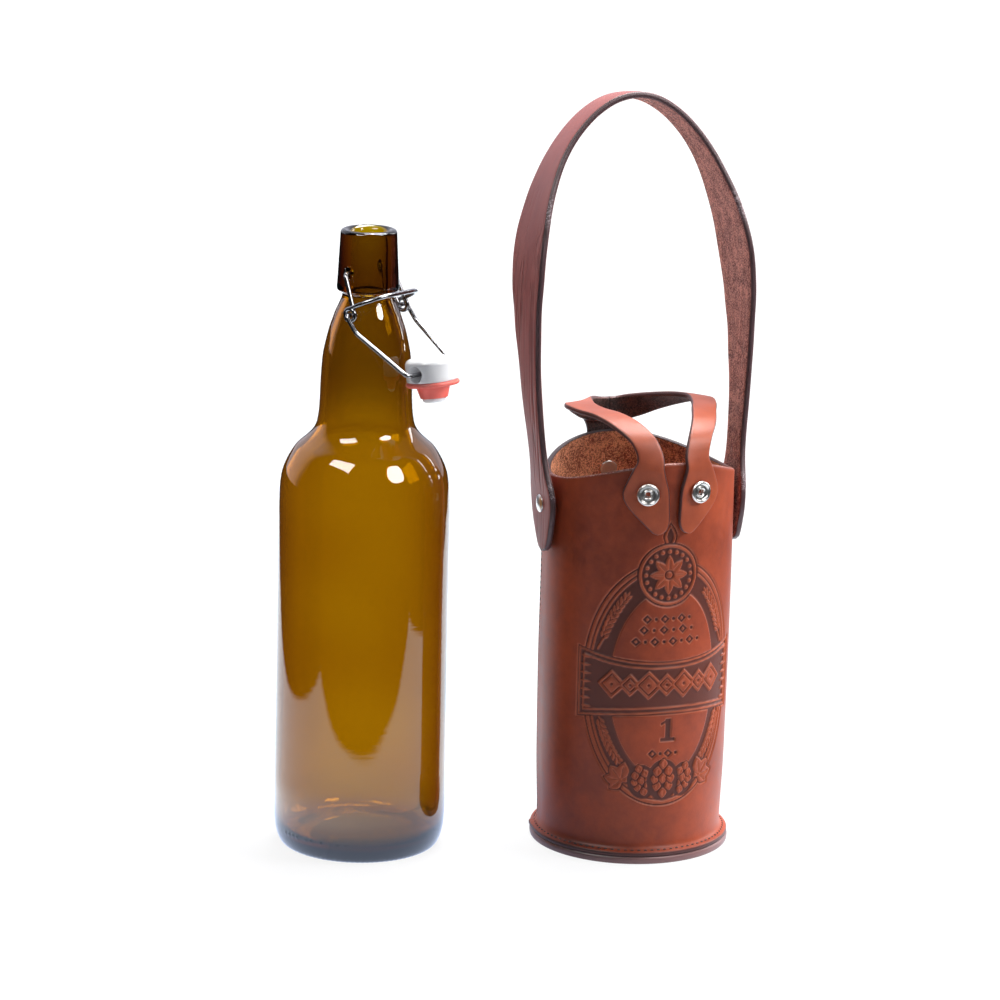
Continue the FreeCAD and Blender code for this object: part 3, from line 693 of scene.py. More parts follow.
# ============================================================== bottle
@dataclass
class Bottle:
    """One-litre bottle: dimpled collar, tapered neck, sleeve, shoulder and domed base."""

    palette: Palette
    dimple_bearing: float = 31.9
    wall: float = 3.6
    neck_wall: float = 3.2
    neck_from: Pair = (190.0, 230.0)      # wall thins to the neck's between these heights
    bore: float = 8.9
    throat_z: tuple[float, ...] = (312.0, 300.0, 290.0)
    neck_top: float = 285.0
    axis_r: float = 0.02                  # the turned skin stops this close to its axis
    dimple_depth: float = 3.4
    dimple_mouth: float = 3.6
    dimple_floor: float = 1.3
    collar_skin: float = 13.6             # only glass further out than this is pressed in
    dot_bearings: tuple[float, ...] = (
        -166.1, -161.7, -157.5, -153.3, -145.3, -141.1, -133.2, -121.0, -115.9)
    dot_z: float = 10.6
    dot_r: Pair = (0.35, 1.25)
    dot_rise: float = 0.4
    knurls: int = 96
    knurl_rise: float = 0.16
    knurl_r: float = 37.0
    knurl_z: Pair = (0.6, 2.4)            # the knurls fade out between these heights
    wave: Pair = (21.0, 0.06)             # size and height of the outer skin's waves
    inner_wave: Pair = (27.0, 0.22)
    wave_z: Pair = (12.0, 40.0)           # the outer waves set in between these heights
    wave_r: float = 16.0
    segments: int = 360
    base: tuple[Pair, ...] = (
        (0.0, 5.0), (12.0, 4.6), (24.0, 3.2), (33.0, 1.3), (36.4, 0.3),
        (38.6, 0.0), (40.6, 1.4), (42.3, 5.0), (43.4, 10.0), (44.0, 17.0))
    side: tuple[Pair, ...] = (
        (44.1, 26.0), (43.9, 60.0), (43.7, 120.0), (43.65, 168.0), (43.6, 180.0),
        (43.0, 190.5), (41.6, 197.0), (38.9, 203.0), (35.0, 209.0), (31.0, 212.6),
        (27.4, 216.2), (25.2, 220.0), (24.1, 225.5), (23.6, 232.0), (23.35, 240.0),
        (23.0, 247.5), (22.2, 256.5), (20.9, 263.0), (19.2, 269.8), (17.9, 273.6),
        (16.3, 278.2), (14.3, 282.6), (13.0, 286.0), (12.95, 287.6))
    collar: tuple[Pair, ...] = (
        (13.3, 288.4), (14.6, 288.9), (15.45, 289.4), (15.7, 290.4), (15.55, 293.0))
    lip: tuple[Pair, ...] = (
        (14.25, 317.6), (14.1, 318.8), (13.5, 319.6), (12.6, 320.0), (11.4, 320.0),
        (10.2, 319.4), (9.3, 318.3), (8.95, 316.8))
    floor: tuple[Pair, ...] = (
        (40.3, 16.0), (39.4, 11.0), (36.8, 7.2), (32.0, 5.9), (22.0, 7.2), (10.0, 8.3),
        (0.0, 8.6))

    def outside(self) -> np.ndarray:
        """Outer side of the glass, from the base's centre over the lip into the mouth.

        Returns:
            Rows of (radius, height).
        """
        side = smooth_path([*self.base[-2:], *self.side], 190)
        side = side[side[:, 1] > self.base[-1][1] + 0.4]
        low, top = np.array(self.collar[-1]), np.array(self.lip[0])
        cone = [low + (top - low) * t for t in np.linspace(0.012, 1, 68)]
        return np.vstack([smooth_path(self.base, 74), side, smooth_path(self.collar, 16),
                          cone, smooth_path(self.lip, 30)[1:]])

    def inside(self) -> np.ndarray:
        """Inner side of the glass, from the bore down to the centre of the floor.

        Returns:
            Rows of (radius, height).
        """
        outer = smooth_path(self.side, 170)[::-1]
        along = unit(np.gradient(outer, axis=0))
        normal = np.stack([along[:, 1], -along[:, 0]], 1)
        depth = self.neck_wall + (self.wall - self.neck_wall) * smooth_step(
            *self.neck_from[::-1], outer[:, 1])
        skin = outer + normal * depth[:, None]
        skin = skin[(skin[:, 0] > self.bore) & (skin[:, 1] < self.neck_top)]
        throat = [(self.bore, z) for z in self.throat_z]
        return np.vstack([throat, skin, smooth_path([skin[-1], *self.floor], 44)[1:]])

    def build(self) -> None:
        """Turns the section, presses the dimples and adds the mould's marks."""
        outside = self.outside()
        profile = np.vstack([outside, self.inside()])
        profile[0, 0] = profile[-1, 0] = self.axis_r
        verts, faces = lathe(profile, self.segments)
        outer = np.repeat(np.arange(len(profile)) < len(outside), self.segments)
        bearing = np.degrees(np.arctan2(verts[:, 1], verts[:, 0]))
        radius = np.hypot(verts[:, 0], verts[:, 1])
        radial = verts[:, :2] / np.maximum(radius, 1e-6)[:, None]
        for side in (0.0, 180.0):
            off = (bearing - self.dimple_bearing - side + 180.0) % 360.0 - 180.0
            away = np.hypot(np.radians(off) * radius, verts[:, 2] - DIMPLE_Z)
            press = smooth_step(self.dimple_mouth, self.dimple_floor, away)
            press = press * self.dimple_depth
            press = np.where(outer & (radius > self.collar_skin), press, 0.0)
            verts[:, :2] -= radial * press[:, None]
        # the dots' mark also tints them near black in the glass: painted shade
        speck = self.dots(radius, outer, bearing, verts[:, 2])
        verts += self.mould_marks(verts, radius, radial, outer, bearing)
        verts += np.array([BOTTLE_X, BOTTLE_Y, 0.0])
        piece = make_piece("amber_bottle", verts, faces, "stand", self.palette.glass,
                           {"speck": speck})
        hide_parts("bottle_glass")

    def dots(self, radius: np.ndarray, outer: np.ndarray, bearing: np.ndarray,
             z: np.ndarray) -> np.ndarray:
        """The small raised dots in the row round the heel.

        Args:
            radius: Distance of each vertex from the bottle's axis.
            outer: Whether each is on the outside.
            bearing: Direction of each in degrees.
            z: Height of each.

        Returns:
            1 on a dot, 0 elsewhere.
        """
        dot = np.zeros_like(z)
        for at in self.dot_bearings:
            off = np.radians((bearing - at + 180) % 360 - 180)
            gap = np.hypot(off * radius, z - self.dot_z)
            dot = np.maximum(dot, np.where(outer, smooth_step(*self.dot_r[::-1], gap), 0.0))
        return dot

    def mould_marks(self, verts: np.ndarray, radius: np.ndarray, radial: np.ndarray,
                    outer: np.ndarray, bearing: np.ndarray) -> np.ndarray:
        """Offsets for the knurled resting ring, the heel dots and the glass's waviness.

        Args:
            verts: Vertices, about the bottle's own axis.
            radius: Distance of each from the axis.
            radial: Direction of each away from the axis.
            outer: Whether each is on the outside.
            bearing: Direction of each in degrees.

        Returns:
            Offset of each vertex.
        """
        z = verts[:, 2]
        knurl = np.sin(np.radians(bearing) * self.knurls)
        knurl = knurl * smooth_step(*self.knurl_z[::-1], z)
        push = np.where(outer, knurl * (radius > self.knurl_r) * self.knurl_rise, 0.0)
        push = push + self.dot_rise * self.dots(radius, outer, bearing, z)
        wave = value_noise(verts, self.wave[0], 5) * self.wave[1]
        wave = wave * smooth_step(*self.wave_z, z)
        inner = value_noise(verts, self.inner_wave[0], 9) * self.inner_wave[1]
        wave = np.where(outer, wave, inner) * (radius > self.wave_r)
        offset = np.zeros_like(verts)
        offset[:, :2] = radial * (push + wave)[:, None]
        return offset


# ============================================================== wire closure
@dataclass
class Closure:
    """Bent-wire lever with coiled eyes, the bail that swings in them and its stopper."""

    palette: Palette

    def build(self) -> None:
        """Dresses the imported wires, the knob and the seal."""
        for name, finish in (("closure_lever", self.palette.wire),
                             ("closure_bail", self.palette.wire),
                             ("stopper_knob", self.palette.ceramic),
                             ("stopper_washer", self.palette.rubber)):
            dress_node(frame["nodes"][name], finish)


def dress_node(node: bpy.types.Object, finish: bpy.types.Material,
               crease: float = 35.0) -> None:
    """Gives a CAD node its finish and smooth shading by angle.

    Args:
        node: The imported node.
        finish: Its material.
        crease: Angle in degrees from which an edge stays sharp.
    """
    node.data.materials.clear()
    node.data.materials.append(finish)
    for polygon in node.data.polygons:
        polygon.use_smooth = True
    sharp = node.modifiers.new("edge_split", "EDGE_SPLIT")
    sharp.split_angle = math.radians(crease)
    LOG.info("%s: dressed as %s", node.name, finish.name)


# ============================================================== stamped label
class Press:
    """A stamped relief over points (s, z): height in millimetres and how dark it is."""

    def __init__(self, s: np.ndarray, z: np.ndarray) -> None:
        """Starts flat: s runs to the right round the wall and z up, in millimetres.

        Args:
            s: Distance of each point round the wall.
            z: Height of each point.
        """
        self.s, self.z = s, z
        self.height = np.zeros_like(s)
        self.dark = np.zeros_like(s)
        self.soft = 0.32

    def stamp(self, inside: np.ndarray, height: float, dark: float,
              clip: np.ndarray | float = 1.0) -> None:
        """Sets height and darkness where a shape is.

        Args:
            inside: Distance inside the shape's edge, negative outside.
            height: Relief there.
            dark: Darkness there.
            clip: Share of the stamp that is let through.
        """
        mask = smooth_step(-self.soft, self.soft, inside) * clip
        self.height = self.height * (1 - mask) + height * mask
        self.dark = self.dark * (1 - mask) + dark * mask

    def local(self, cs: float, cz: float, turn: float) -> tuple[np.ndarray, np.ndarray]:
        """Coordinates about a centre, along axes turned by some degrees.

        Args:
            cs: Centre round the wall.
            cz: Height of the centre.
            turn: Degrees to turn the axes by.

        Returns:
            Both coordinates of each point.
        """
        t = math.radians(turn)
        x, y = self.s - cs, self.z - cz
        return x * math.cos(t) + y * math.sin(t), y * math.cos(t) - x * math.sin(t)

    def oval(self, cs: float, cz: float, a: float, b: float, turn: float = 0.0) -> np.ndarray:
        """Distance inside an ellipse of half axes a and b, close to its edge.

        Args:
            cs: Centre round the wall.
            cz: Height of the centre.
            a: Half axis across.
            b: Half axis up.
            turn: Degrees it is turned by.

        Returns:
            The distance at each point.
        """
        u, v = self.local(cs, cz, turn)
        level = 1 - (u / a) ** 2 - (v / b) ** 2
        slope = 2 * np.hypot(u / a ** 2, v / b ** 2) + 1e-6
        return np.minimum(level / slope, min(a, b))

    def block(self, cs: float, cz: float, half_s: float, half_z: float,
              turn: float = 0.0) -> np.ndarray:
        """Distance inside a rectangle, given half its sides."""
        u, v = self.local(cs, cz, turn)
        return np.minimum(half_s - np.abs(u), half_z - np.abs(v))

    def lozenge(self, cs: float, cz: float, half_s: float, half_z: float) -> np.ndarray:
        """Distance inside a diamond, given half its diagonals."""
        level = 1 - np.abs(self.s - cs) / half_s - np.abs(self.z - cz) / half_z
        return level / math.hypot(1 / half_s, 1 / half_z)

    def drop(self, cs: float, cz: float, a: float, b: float, turn: float) -> np.ndarray:
        """Distance inside a pointed leaf shape of half width a and half length b."""
        u, v = self.local(cs, cz, turn)
        return a * (1 - np.clip(np.abs(v) / b, 0, 2) ** 1.7) - np.abs(u)


@dataclass(frozen=True)
class Label:
    """Oval beer label: double frame, banner, barley ears, hops and a plain number."""

    frame_centre: Pair = (-0.6, 95.0)
    frame_half: Pair = (45.2, 65.2)
    panel_centre: Pair = (0.0, 94.8)
    panel_half: Pair = (30.4, 50.4)
    medallion_centre: Pair = (-0.8, 151.9)
    number_centre: Pair = (1.6, 70.3)
    deep: float = -0.95
    mid: float = -0.1

    def press(self, s: np.ndarray, z: np.ndarray) -> Press:
        """Stamps the whole label.

        Args:
            s: Distance round the wall from the middle of the front.
            z: Height.

        Returns:
            The finished relief.
        """
        p = Press(s, z)
        for part in (self.frame_rings, self.barley, self.panel_rows, self.hops,
                     self.banner, self.medallion, self.number):
            part(p)
        return p

    def frame_rings(self, p: Press) -> None:
        """Double oval frame, sunk field and the plain panel inside it.

        Args:
            p: The relief to stamp.
        """
        a, b = self.frame_half
        for inset, height, dark in ((0.0, self.deep, 0.95), (1.0, self.mid, 0.12),
                                    (2.9, self.deep, 0.9), (3.9, self.mid, 0.10),
                                    (5.0, self.deep, 0.92)):
            p.stamp(p.oval(*self.frame_centre, a - inset, b - inset), height, dark)
        panel = p.oval(*self.panel_centre, *self.panel_half)
        p.stamp(panel, -0.05, 0.0)
        p.stamp(0.45 - np.abs(panel - 0.2), self.deep * 0.8, 0.85)

    def barley(self, p: Press) -> None:
        """Four bearded ears that lie in the sunk field.

        Args:
            p: The relief to stamp.
        """
        for flip in (-1.0, 1.0):
            for start, end, lean in (((-34.8, 116.0), (-20.6, 142.5), 1.0),
                                     ((-35.6, 77.0), (-22.6, 52.0), -1.0)):
                a, b = np.array(start), np.array(end)
                way = unit(b - a)
                side = np.array([-way[1], way[0]])
                bow = 1.6 * lean
                turn = math.degrees(math.atan2(way[1], way[0])) - 90
                for k in range(9):
                    t = 0.12 + 0.80 * k / 8
                    spine = a + (b - a) * t + side * bow * math.sin(math.pi * t)
                    grow = 1.0 - 0.35 * abs(t - 0.45)
                    for hand in (-1.0, 1.0):
                        at = spine + side * hand * 1.55 * grow
                        grain = p.drop(flip * at[0], at[1], 0.85 * grow, 2.1 * grow,
                                       flip * (turn + hand * 24))
                        p.stamp(grain, 0.0, 0.1)
                    tip = spine + way * 1.4
                    p.stamp(p.drop(flip * tip[0], tip[1], 0.5, 1.5, flip * turn), 0.0, 0.15)
                stem = a + way * -1.5
                p.stamp(p.block(flip * stem[0], stem[1], 0.4, 3.4, flip * turn), 0.0, 0.2)

    def panel_rows(self, p: Press) -> None:
        """Rows of small diamonds and beads on the plain panel.

        Args:
            p: The relief to stamp.
        """
        for z, half, step in ((129.0, 11.5, 4.6), (123.3, 13.0, 5.2), (117.2, 17.0, 4.8),
                              (57.8, 6.5, 4.3)):
            count = int(2 * half / step)
            for k in range(count + 1):
                s = -half + 2 * half * k / count
                if k % 2:
                    p.stamp(p.oval(s, z, 1.0, 1.0), self.deep * 0.8, 1.0)
                else:
                    p.stamp(p.lozenge(s, z, 2.7, 2.5), self.deep * 0.8, 1.0)
                    p.stamp(p.lozenge(s, z, 1.0, 0.9), 0.0, 0.1)

    def banner(self, p: Press) -> None:
        """Waisted banner with a row of overlapping raised diamonds and ticked ends.

        Args:
            p: The relief to stamp.
        """
        half = 47.6
        top = 105.9 + 5.9 * (p.s / half) ** 2
        low = 79.3 - 3.6 * (p.s / half) ** 2
        ends = half - np.abs(p.s)
        inside = np.minimum(np.minimum(top - p.z, p.z - low), ends)
        p.stamp(inside + 0.9, self.deep * 0.9, 0.9)
        p.stamp(inside, 0.0, 0.15)
        p.stamp(inside - 0.8, self.deep, 0.9)
        p.stamp(inside - 1.9, self.deep, 0.9)
        line = 0.42 - np.abs(inside - 2.9)
        p.stamp(line, self.mid, 0.25, np.where(ends > 2.6, 1.0, 0.0))
        for side in (-1.0, 1.0):
            for k in range(7):
                s = side * (43.6 - (0.8 if k in (0, 6) else 0.0))
                p.stamp(p.drop(s, 81.0 + 4.35 * k, 0.62, 3.0, 90.0), 0.0, 0.15)
        middle = 94.3
        for k in range(7):
            s = -28.8 + 9.6 * k
            big = 7.6 if k % 2 == 0 else 6.0
            for inset, height, dark in ((0.0, 0.05, 0.1), (1.7, self.deep, 0.85),
                                        (2.9, 0.05, 0.1)):
                p.stamp(p.lozenge(s, middle, big - inset, big - inset), height, dark)
            p.stamp(p.oval(s, middle, 0.9, 0.9), self.deep, 0.8)

    def hops(self, p: Press) -> None:
        """Three hop cones between vine leaves at the foot of the frame.

        Args:
            p: The relief to stamp.
        """
        for side in (-1.0, 1.0):
            self.leaf(p, side * 22.5, 43.5, side)
        cones = ((-11.5, 43.0, 7.0, 8.5, 14.0), (11.5, 43.0, 7.0, 8.5, -14.0),
                 (0.0, 43.5, 8.2, 10.4, 0.0))
        for cs, cz, a, b, turn in cones:
            p.stamp(p.oval(cs, cz, a + 0.8, b + 0.8, turn), self.deep, 0.95)
            t = math.radians(turn)
            for row in range(5):
                v = b * (-0.66 + row * 0.37)
                width = a * math.sqrt(max(0.05, 1 - (v / (b * 1.02)) ** 2))
                count = (1, 2, 3, 2, 1)[row]
                for k in range(count):
                    u = (k - (count - 1) / 2) * (1.36 * width / max(count - 0.4, 1))
                    x = cs + u * math.cos(t) - v * math.sin(t)
                    y = cz + u * math.sin(t) + v * math.cos(t)
                    lean = turn + 180.0 + u * 3.4
                    p.stamp(p.drop(x, y, a * 0.37, b * 0.36, lean), self.deep, 0.95)
                    p.stamp(p.drop(x, y + 0.1, a * 0.27, b * 0.27, lean), 0.05, 0.05)
                    p.stamp(p.block(x, y, 0.16, b * 0.13, lean), self.deep * 0.6, 0.7)

    def leaf(self, p: Press, cs: float, cz: float, side: float) -> None:
        """Lobed leaf with veins.

        Args:
            p: The relief.
            cs: Centre round the wall.
            cz: Height of the centre.
            side: Which way the leaf points.
        """
        lobes = ((100.0, 9.0, 3.4), (52.0, 8.6, 3.2), (148.0, 7.0, 2.8), (8.0, 8.2, 3.0),
                 (-38.0, 6.6, 2.7))

        def middle(bearing: float, reach: float) -> Point:
            """Place on a lobe, and how far its length is turned from upright.

            Args:
                bearing: Direction of the lobe in degrees.
                reach: Distance from the centre.

            Returns:
                Both coordinates of the place, and the turn in degrees.
            """
            t = math.radians(bearing)
            return cs + side * math.cos(t) * reach, cz + math.sin(t) * reach, side * (
                bearing - 90)

        for grow, height, dark in ((0.9, self.deep, 0.95), (0.0, 0.05, 0.06)):
            for bearing, length, width in lobes:
                x, y, turn = middle(bearing, length * 0.5)
                p.stamp(p.drop(x, y, width + grow, length * 0.62 + grow, turn), height, dark)
        for bearing, length, _ in lobes:
            x, y, turn = middle(bearing, length * 0.48)
            p.stamp(p.block(x, y, 0.26, length * 0.36, turn), self.deep * 0.8, 0.85)

    def medallion(self, p: Press) -> None:
        """Round boss with a rosette in a beaded ring, and a small finial above.

        Args:
            p: The relief to stamp.
        """
        (cs, cz), r = self.medallion_centre, 16.0
        finial = p.drop(cs, cz + r + 4.0, 3.4, 6.6, 0.0)
        for inset, height, dark in ((-0.6, self.deep, 0.9), (0.3, 0.0, 0.15),
                                    (1.5, self.deep, 0.9)):
            p.stamp(finial - inset, height, dark)
        for inset, height, dark in ((-0.8, self.deep, 0.95), (0.3, 0.02, 0.12),
                                    (1.7, self.deep, 0.95)):
            p.stamp(p.oval(cs, cz, r - inset, r - inset), height, dark)
        beads, petals = 20, 8
        for k in range(beads):
            t = 2 * math.pi * k / beads
            p.stamp(p.oval(cs + 12.1 * math.cos(t), cz + 12.1 * math.sin(t), 1.0, 1.0),
                    0.0, 0.15)
        for k in range(petals):
            t = 2 * math.pi * k / petals
            at = (cs + 5.6 * math.cos(t), cz + 5.6 * math.sin(t))
            turn = math.degrees(t) - 90
            p.stamp(p.drop(*at, 2.2, 4.6, turn), 0.05, 0.08)
            p.stamp(p.block(*at, 0.24, 2.6, turn), self.deep * 0.7, 0.8)
        p.stamp(p.oval(cs, cz, 2.6, 2.6), self.deep, 0.9)
        p.stamp(p.oval(cs, cz, 1.6, 1.6), 0.05, 0.05)

    def number(self, p: Press) -> None:
        """Slab-footed figure 1.

        Args:
            p: The relief to stamp.
        """
        s, z = self.number_centre
        for block in ((s, z, 1.55, 6.1), (s, z - 5.2, 4.2, 1.0),
                      (s - 2.2, z + 4.0, 2.2, 0.75, 28.0)):
            p.stamp(p.block(*block), self.deep, 0.95)


# ============================================================== carrier
@dataclass
class CarrierWall:
    """Tube of thick leather: flared stitched foot, dipping rim, seam and label."""

    palette: Palette
    label: Label = Label()
    thickness: float = 2.8
    welt_r: float = 51.15
    sole_top: float = 3.8
    rim_z: float = 195.3
    rim_wave: Pair = (12.2, -1.8)         # front and back above the sides; back lower
    shoulder_z: float = 186.0             # rows above this follow the rim
    label_half: float = 62.5              # degrees of finer columns under the label
    seam_bearing: float = 163.0
    seam_half: float = 4.6
    seam_step: float = 3.0
    seam_lap: float = 0.75                # how far the upper layer stands proud
    channel: Pair = (0.35, 0.7)           # depth and width of the stitches' channel
    channel_side: float = 1.2             # from the seam's bearing to the channel
    dent: Pair = (46.0, 0.28)             # size and depth of the tube's unevenness
    dent_z: float = 14.0                  # the foot below this stays even
    outside: tuple[Pair, ...] = (
        (47.15, 11.8), (47.3, 18.0), (48.0, 40.0), (48.4, 72.0), (48.65, 104.0),
        (48.75, 135.0), (48.6, 165.0), (48.4, 190.0), (48.4, 225.0))

    def rim(self, turn: np.ndarray) -> np.ndarray:
        """Height of the rim at an angle in radians: high in front, low at the sides."""
        share = np.sin(turn)
        return self.rim_z + self.rim_wave[0] * share ** 2 + self.rim_wave[1] * share

    def columns(self) -> np.ndarray:
        """Angles of the wall's columns, close together under the label and the seam.

        Returns:
            The angles in radians, from the label's left edge once round.
        """
        front = np.linspace(-self.label_half, self.label_half, 226)
        rest = np.linspace(self.label_half, 360 - self.label_half, 96)[1:-1]
        seam_at = self.seam_bearing + 90
        seam = np.linspace(-self.seam_half, self.seam_half, 17) + seam_at
        rest = rest[np.abs(rest - seam_at) > self.seam_half + 0.3]
        return np.radians(np.sort(np.concatenate([front, rest, seam])) - 90)

    def radius(self, z: np.ndarray | float) -> np.ndarray | float:
        """Outside radius of the wall at a height."""
        curve = smooth_path(self.outside, 200)
        return np.interp(z, curve[:, 1], curve[:, 0])

    def rows(self, rim: np.ndarray) -> tuple[np.ndarray, np.ndarray, int]:
        """Rows of the skin, from the welt up the outside, over the rim and down inside.

        Args:
            rim: Height of the rim at each column.

        Returns:
            Radius and height of each vertex, and how many rows are on the outside.
        """
        welt = self.welt_r
        flare = [(welt - 0.5, self.sole_top), (welt, 4.5), (welt, 5.7), (welt - 0.45, 6.35),
                 (welt - 1.3, 6.55), (49.3, 6.7), (48.4, 7.2), (47.7, 8.2), (47.25, 9.7)]
        heights = np.concatenate([np.arange(11.8, 27.5, 3.0), np.arange(28.0, 179.0, 0.55),
                                  np.arange(180.5, self.shoulder_z, 2.0)])
        level = flare + [(self.radius(z), z) for z in heights]
        bend = self.thickness / 2
        turn_over = rim - bend * 0.8
        rising = [self.shoulder_z + (turn_over - self.shoulder_z) * t
                  for t in np.linspace(0.12, 1, 9)]
        over = [(self.radius(rim) - bend + bend * math.cos(a),
                 rim - bend * 0.8 * (1 - math.sin(a))) for a in math.pi * np.arange(1, 8) / 8]
        falling = [turn_over * (1 - t) + 9.5 * t for t in np.linspace(0, 1, 44)]
        foot = [(44.6, 7.0), (43.9, 5.4), (42.6, 4.4), (40.8, self.sole_top)]
        skin = [*level, *[(self.radius(z), z) for z in rising], *over,
                *[(self.radius(z) - self.thickness, z) for z in falling], *foot]
        radius, height = (np.stack([np.broadcast_to(row[k], rim.shape) for row in skin])
                          for k in (0, 1))
        return radius, height, len(level) + len(rising)

    def marks(self, turn: np.ndarray, outside: int, rows: int) -> dict[str, np.ndarray]:
        """The marks flesh, edge, and worn edges with the painted highlight along the front
        rim.

        Args:
            turn: Angle of each column in radians.
            outside: How many rows are on the outside.
            rows: How many rows there are.

        Returns:
            The marks by name, one row of values for each row of the skin.
        """
        flesh, edge, wear_and_highlight = (np.zeros((rows, len(turn))) for _ in range(3))
        back = smooth_step(-0.2, 0.35, np.sin(turn))
        flesh[outside + 6:] = 1.0
        # painted highlight: the rim's edge is less dark at the front and takes the pale worn
        # colour there; the back keeps the dark burnished edge
        edge[outside:outside + 7] = 0.35 + 0.65 * back
        edge[:3] = 0.85
        wear_and_highlight[outside + 1:outside + 5] = (1 - back) * 0.55
        return {"flesh": flesh, "edge": edge, "wear_and_highlight": wear_and_highlight}

    def build(self) -> None:
        """Builds the wall as one closed skin with its relief."""
        turn = self.columns()
        radius, height, outside = self.rows(self.rim(turn))
        outer = (np.arange(len(radius)) < outside)[:, None]
        angle = np.broadcast_to(turn, radius.shape)
        arc = np.radians((np.degrees(angle) + 90 + 180) % 360 - 180) * WALL_R
        press = self.label.press(arc.ravel(), height.ravel())
        relief = press.height.reshape(radius.shape) * outer
        seam_gap, seam_dark = self.seam(angle, height)
        relief = relief + seam_gap * outer
        radius = radius + relief + self.dents(angle, height) * (height > self.dent_z)
        verts = np.stack([radius * np.cos(angle), radius * np.sin(angle), height], -1)
        marks = self.marks(turn, outside, len(radius))
        marks["edge"] = np.maximum(marks["edge"], seam_dark * outer)
        marks["stamp"] = press.dark.reshape(radius.shape) * outer
        piece = make_piece("carrier_wall", verts.reshape(-1, 3),
                           grid_faces(*radius.shape, True, True), "stand",
                           self.palette.wall,
                           {name: values.ravel() for name, values in marks.items()})
        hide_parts("carrier_body")

    def dents(self, angle: np.ndarray, height: np.ndarray) -> np.ndarray:
        """Slow unevenness of a hand-made tube.

        Args:
            angle: Angle of each vertex in radians.
            height: Height of each vertex.

        Returns:
            How far each vertex moves out.
        """
        r = self.outside[2][0]
        at = np.stack([np.cos(angle).ravel() * r, np.sin(angle).ravel() * r,
                       height.ravel()], 1)
        return (value_noise(at, self.dent[0], 3) * self.dent[1]).reshape(angle.shape)

    def seam(self, angle: np.ndarray, height: np.ndarray) -> tuple[np.ndarray, np.ndarray]:
        """Lapped seam down the side: a step where the upper layer ends.

        Args:
            angle: Angle of each vertex in radians.
            height: Height of each vertex.

        Returns:
            Relief, and darkness of the step's edge.
        """
        off = (np.degrees(angle) - self.seam_bearing + 180) % 360 - 180
        run = np.radians(off) * WALL_R
        lap = self.seam_lap * smooth_step(-2.0, -1.6, run) * smooth_step(9.5, -1.0, run)
        tooth = 0.22 * np.cos(2 * math.pi * height / self.seam_step)
        depth, width = self.channel
        channel = -depth * np.exp(-((run - self.channel_side) / width) ** 2) * (1 + tooth)
        dark = np.exp(-((run + 1.8) / 0.35) ** 2)
        return lap + channel, dark * 0.8


# ============================================================== straps
def strap_skin(middle: np.ndarray, across: np.ndarray, out: np.ndarray, half: np.ndarray,
               thickness: float, crown: float) -> tuple[
                   np.ndarray, list[list[int]], dict[str, np.ndarray]]:
    """Skin of a leather strap with rounded edges, a grain side and a flesh side.

    Args:
        middle: Centre of the strap's grain side at each station.
        across: Unit direction across the strap at each station.
        out: Unit direction out of the grain side at each station.
        half: Half width at each station.
        thickness: Thickness of the leather.
        crown: How far the middle of the grain side stands proud of its edges.

    Returns:
        Vertices, faces and the marks flesh, edge, wear and stamp.
    """
    lift = np.linspace(-1, 1, 13)
    section = [(u, crown * (1 - u * u), 0.0, 0.0, 0.0) for u in lift]
    r = thickness / 2
    rounds = [(math.cos(a), math.sin(a)) for a in np.radians([62, 35, 8, -20, -48])]
    section += [(1.0, -r + r * sn * 0.96, cs, 1.0, 0.0) for cs, sn in rounds]
    section += [(u, -thickness, 0.0, 0.0, 1.0) for u in np.linspace(1, -1, 9)]
    section += [(-1.0, -r + r * sn * 0.96, -cs, 1.0, 0.0) for cs, sn in rounds[::-1]]
    rows = []
    for m, a, n, w in zip(middle, across, out, half):
        corner = min(thickness * 0.32, w * 0.8)
        flat = max(w - corner, 0.02)
        rows.append([m + a * (u * flat + bulge * corner) + n * d
                     for u, d, bulge, _, _ in section])
    verts = np.array(rows).reshape(-1, 3)
    count = len(section)
    faces = grid_faces(len(rows), count, False, True).tolist() + end_caps(len(rows), count)
    tile = np.tile(np.array(section), (len(rows), 1))
    ends = np.zeros(len(rows))
    ends[[0, -1]] = 1.0
    edge = np.maximum(tile[:, 3], np.repeat(ends, count))
    plain = np.zeros(len(verts))
    return verts, faces, {"flesh": tile[:, 4], "edge": edge, "wear_and_highlight": plain, "stamp": plain}


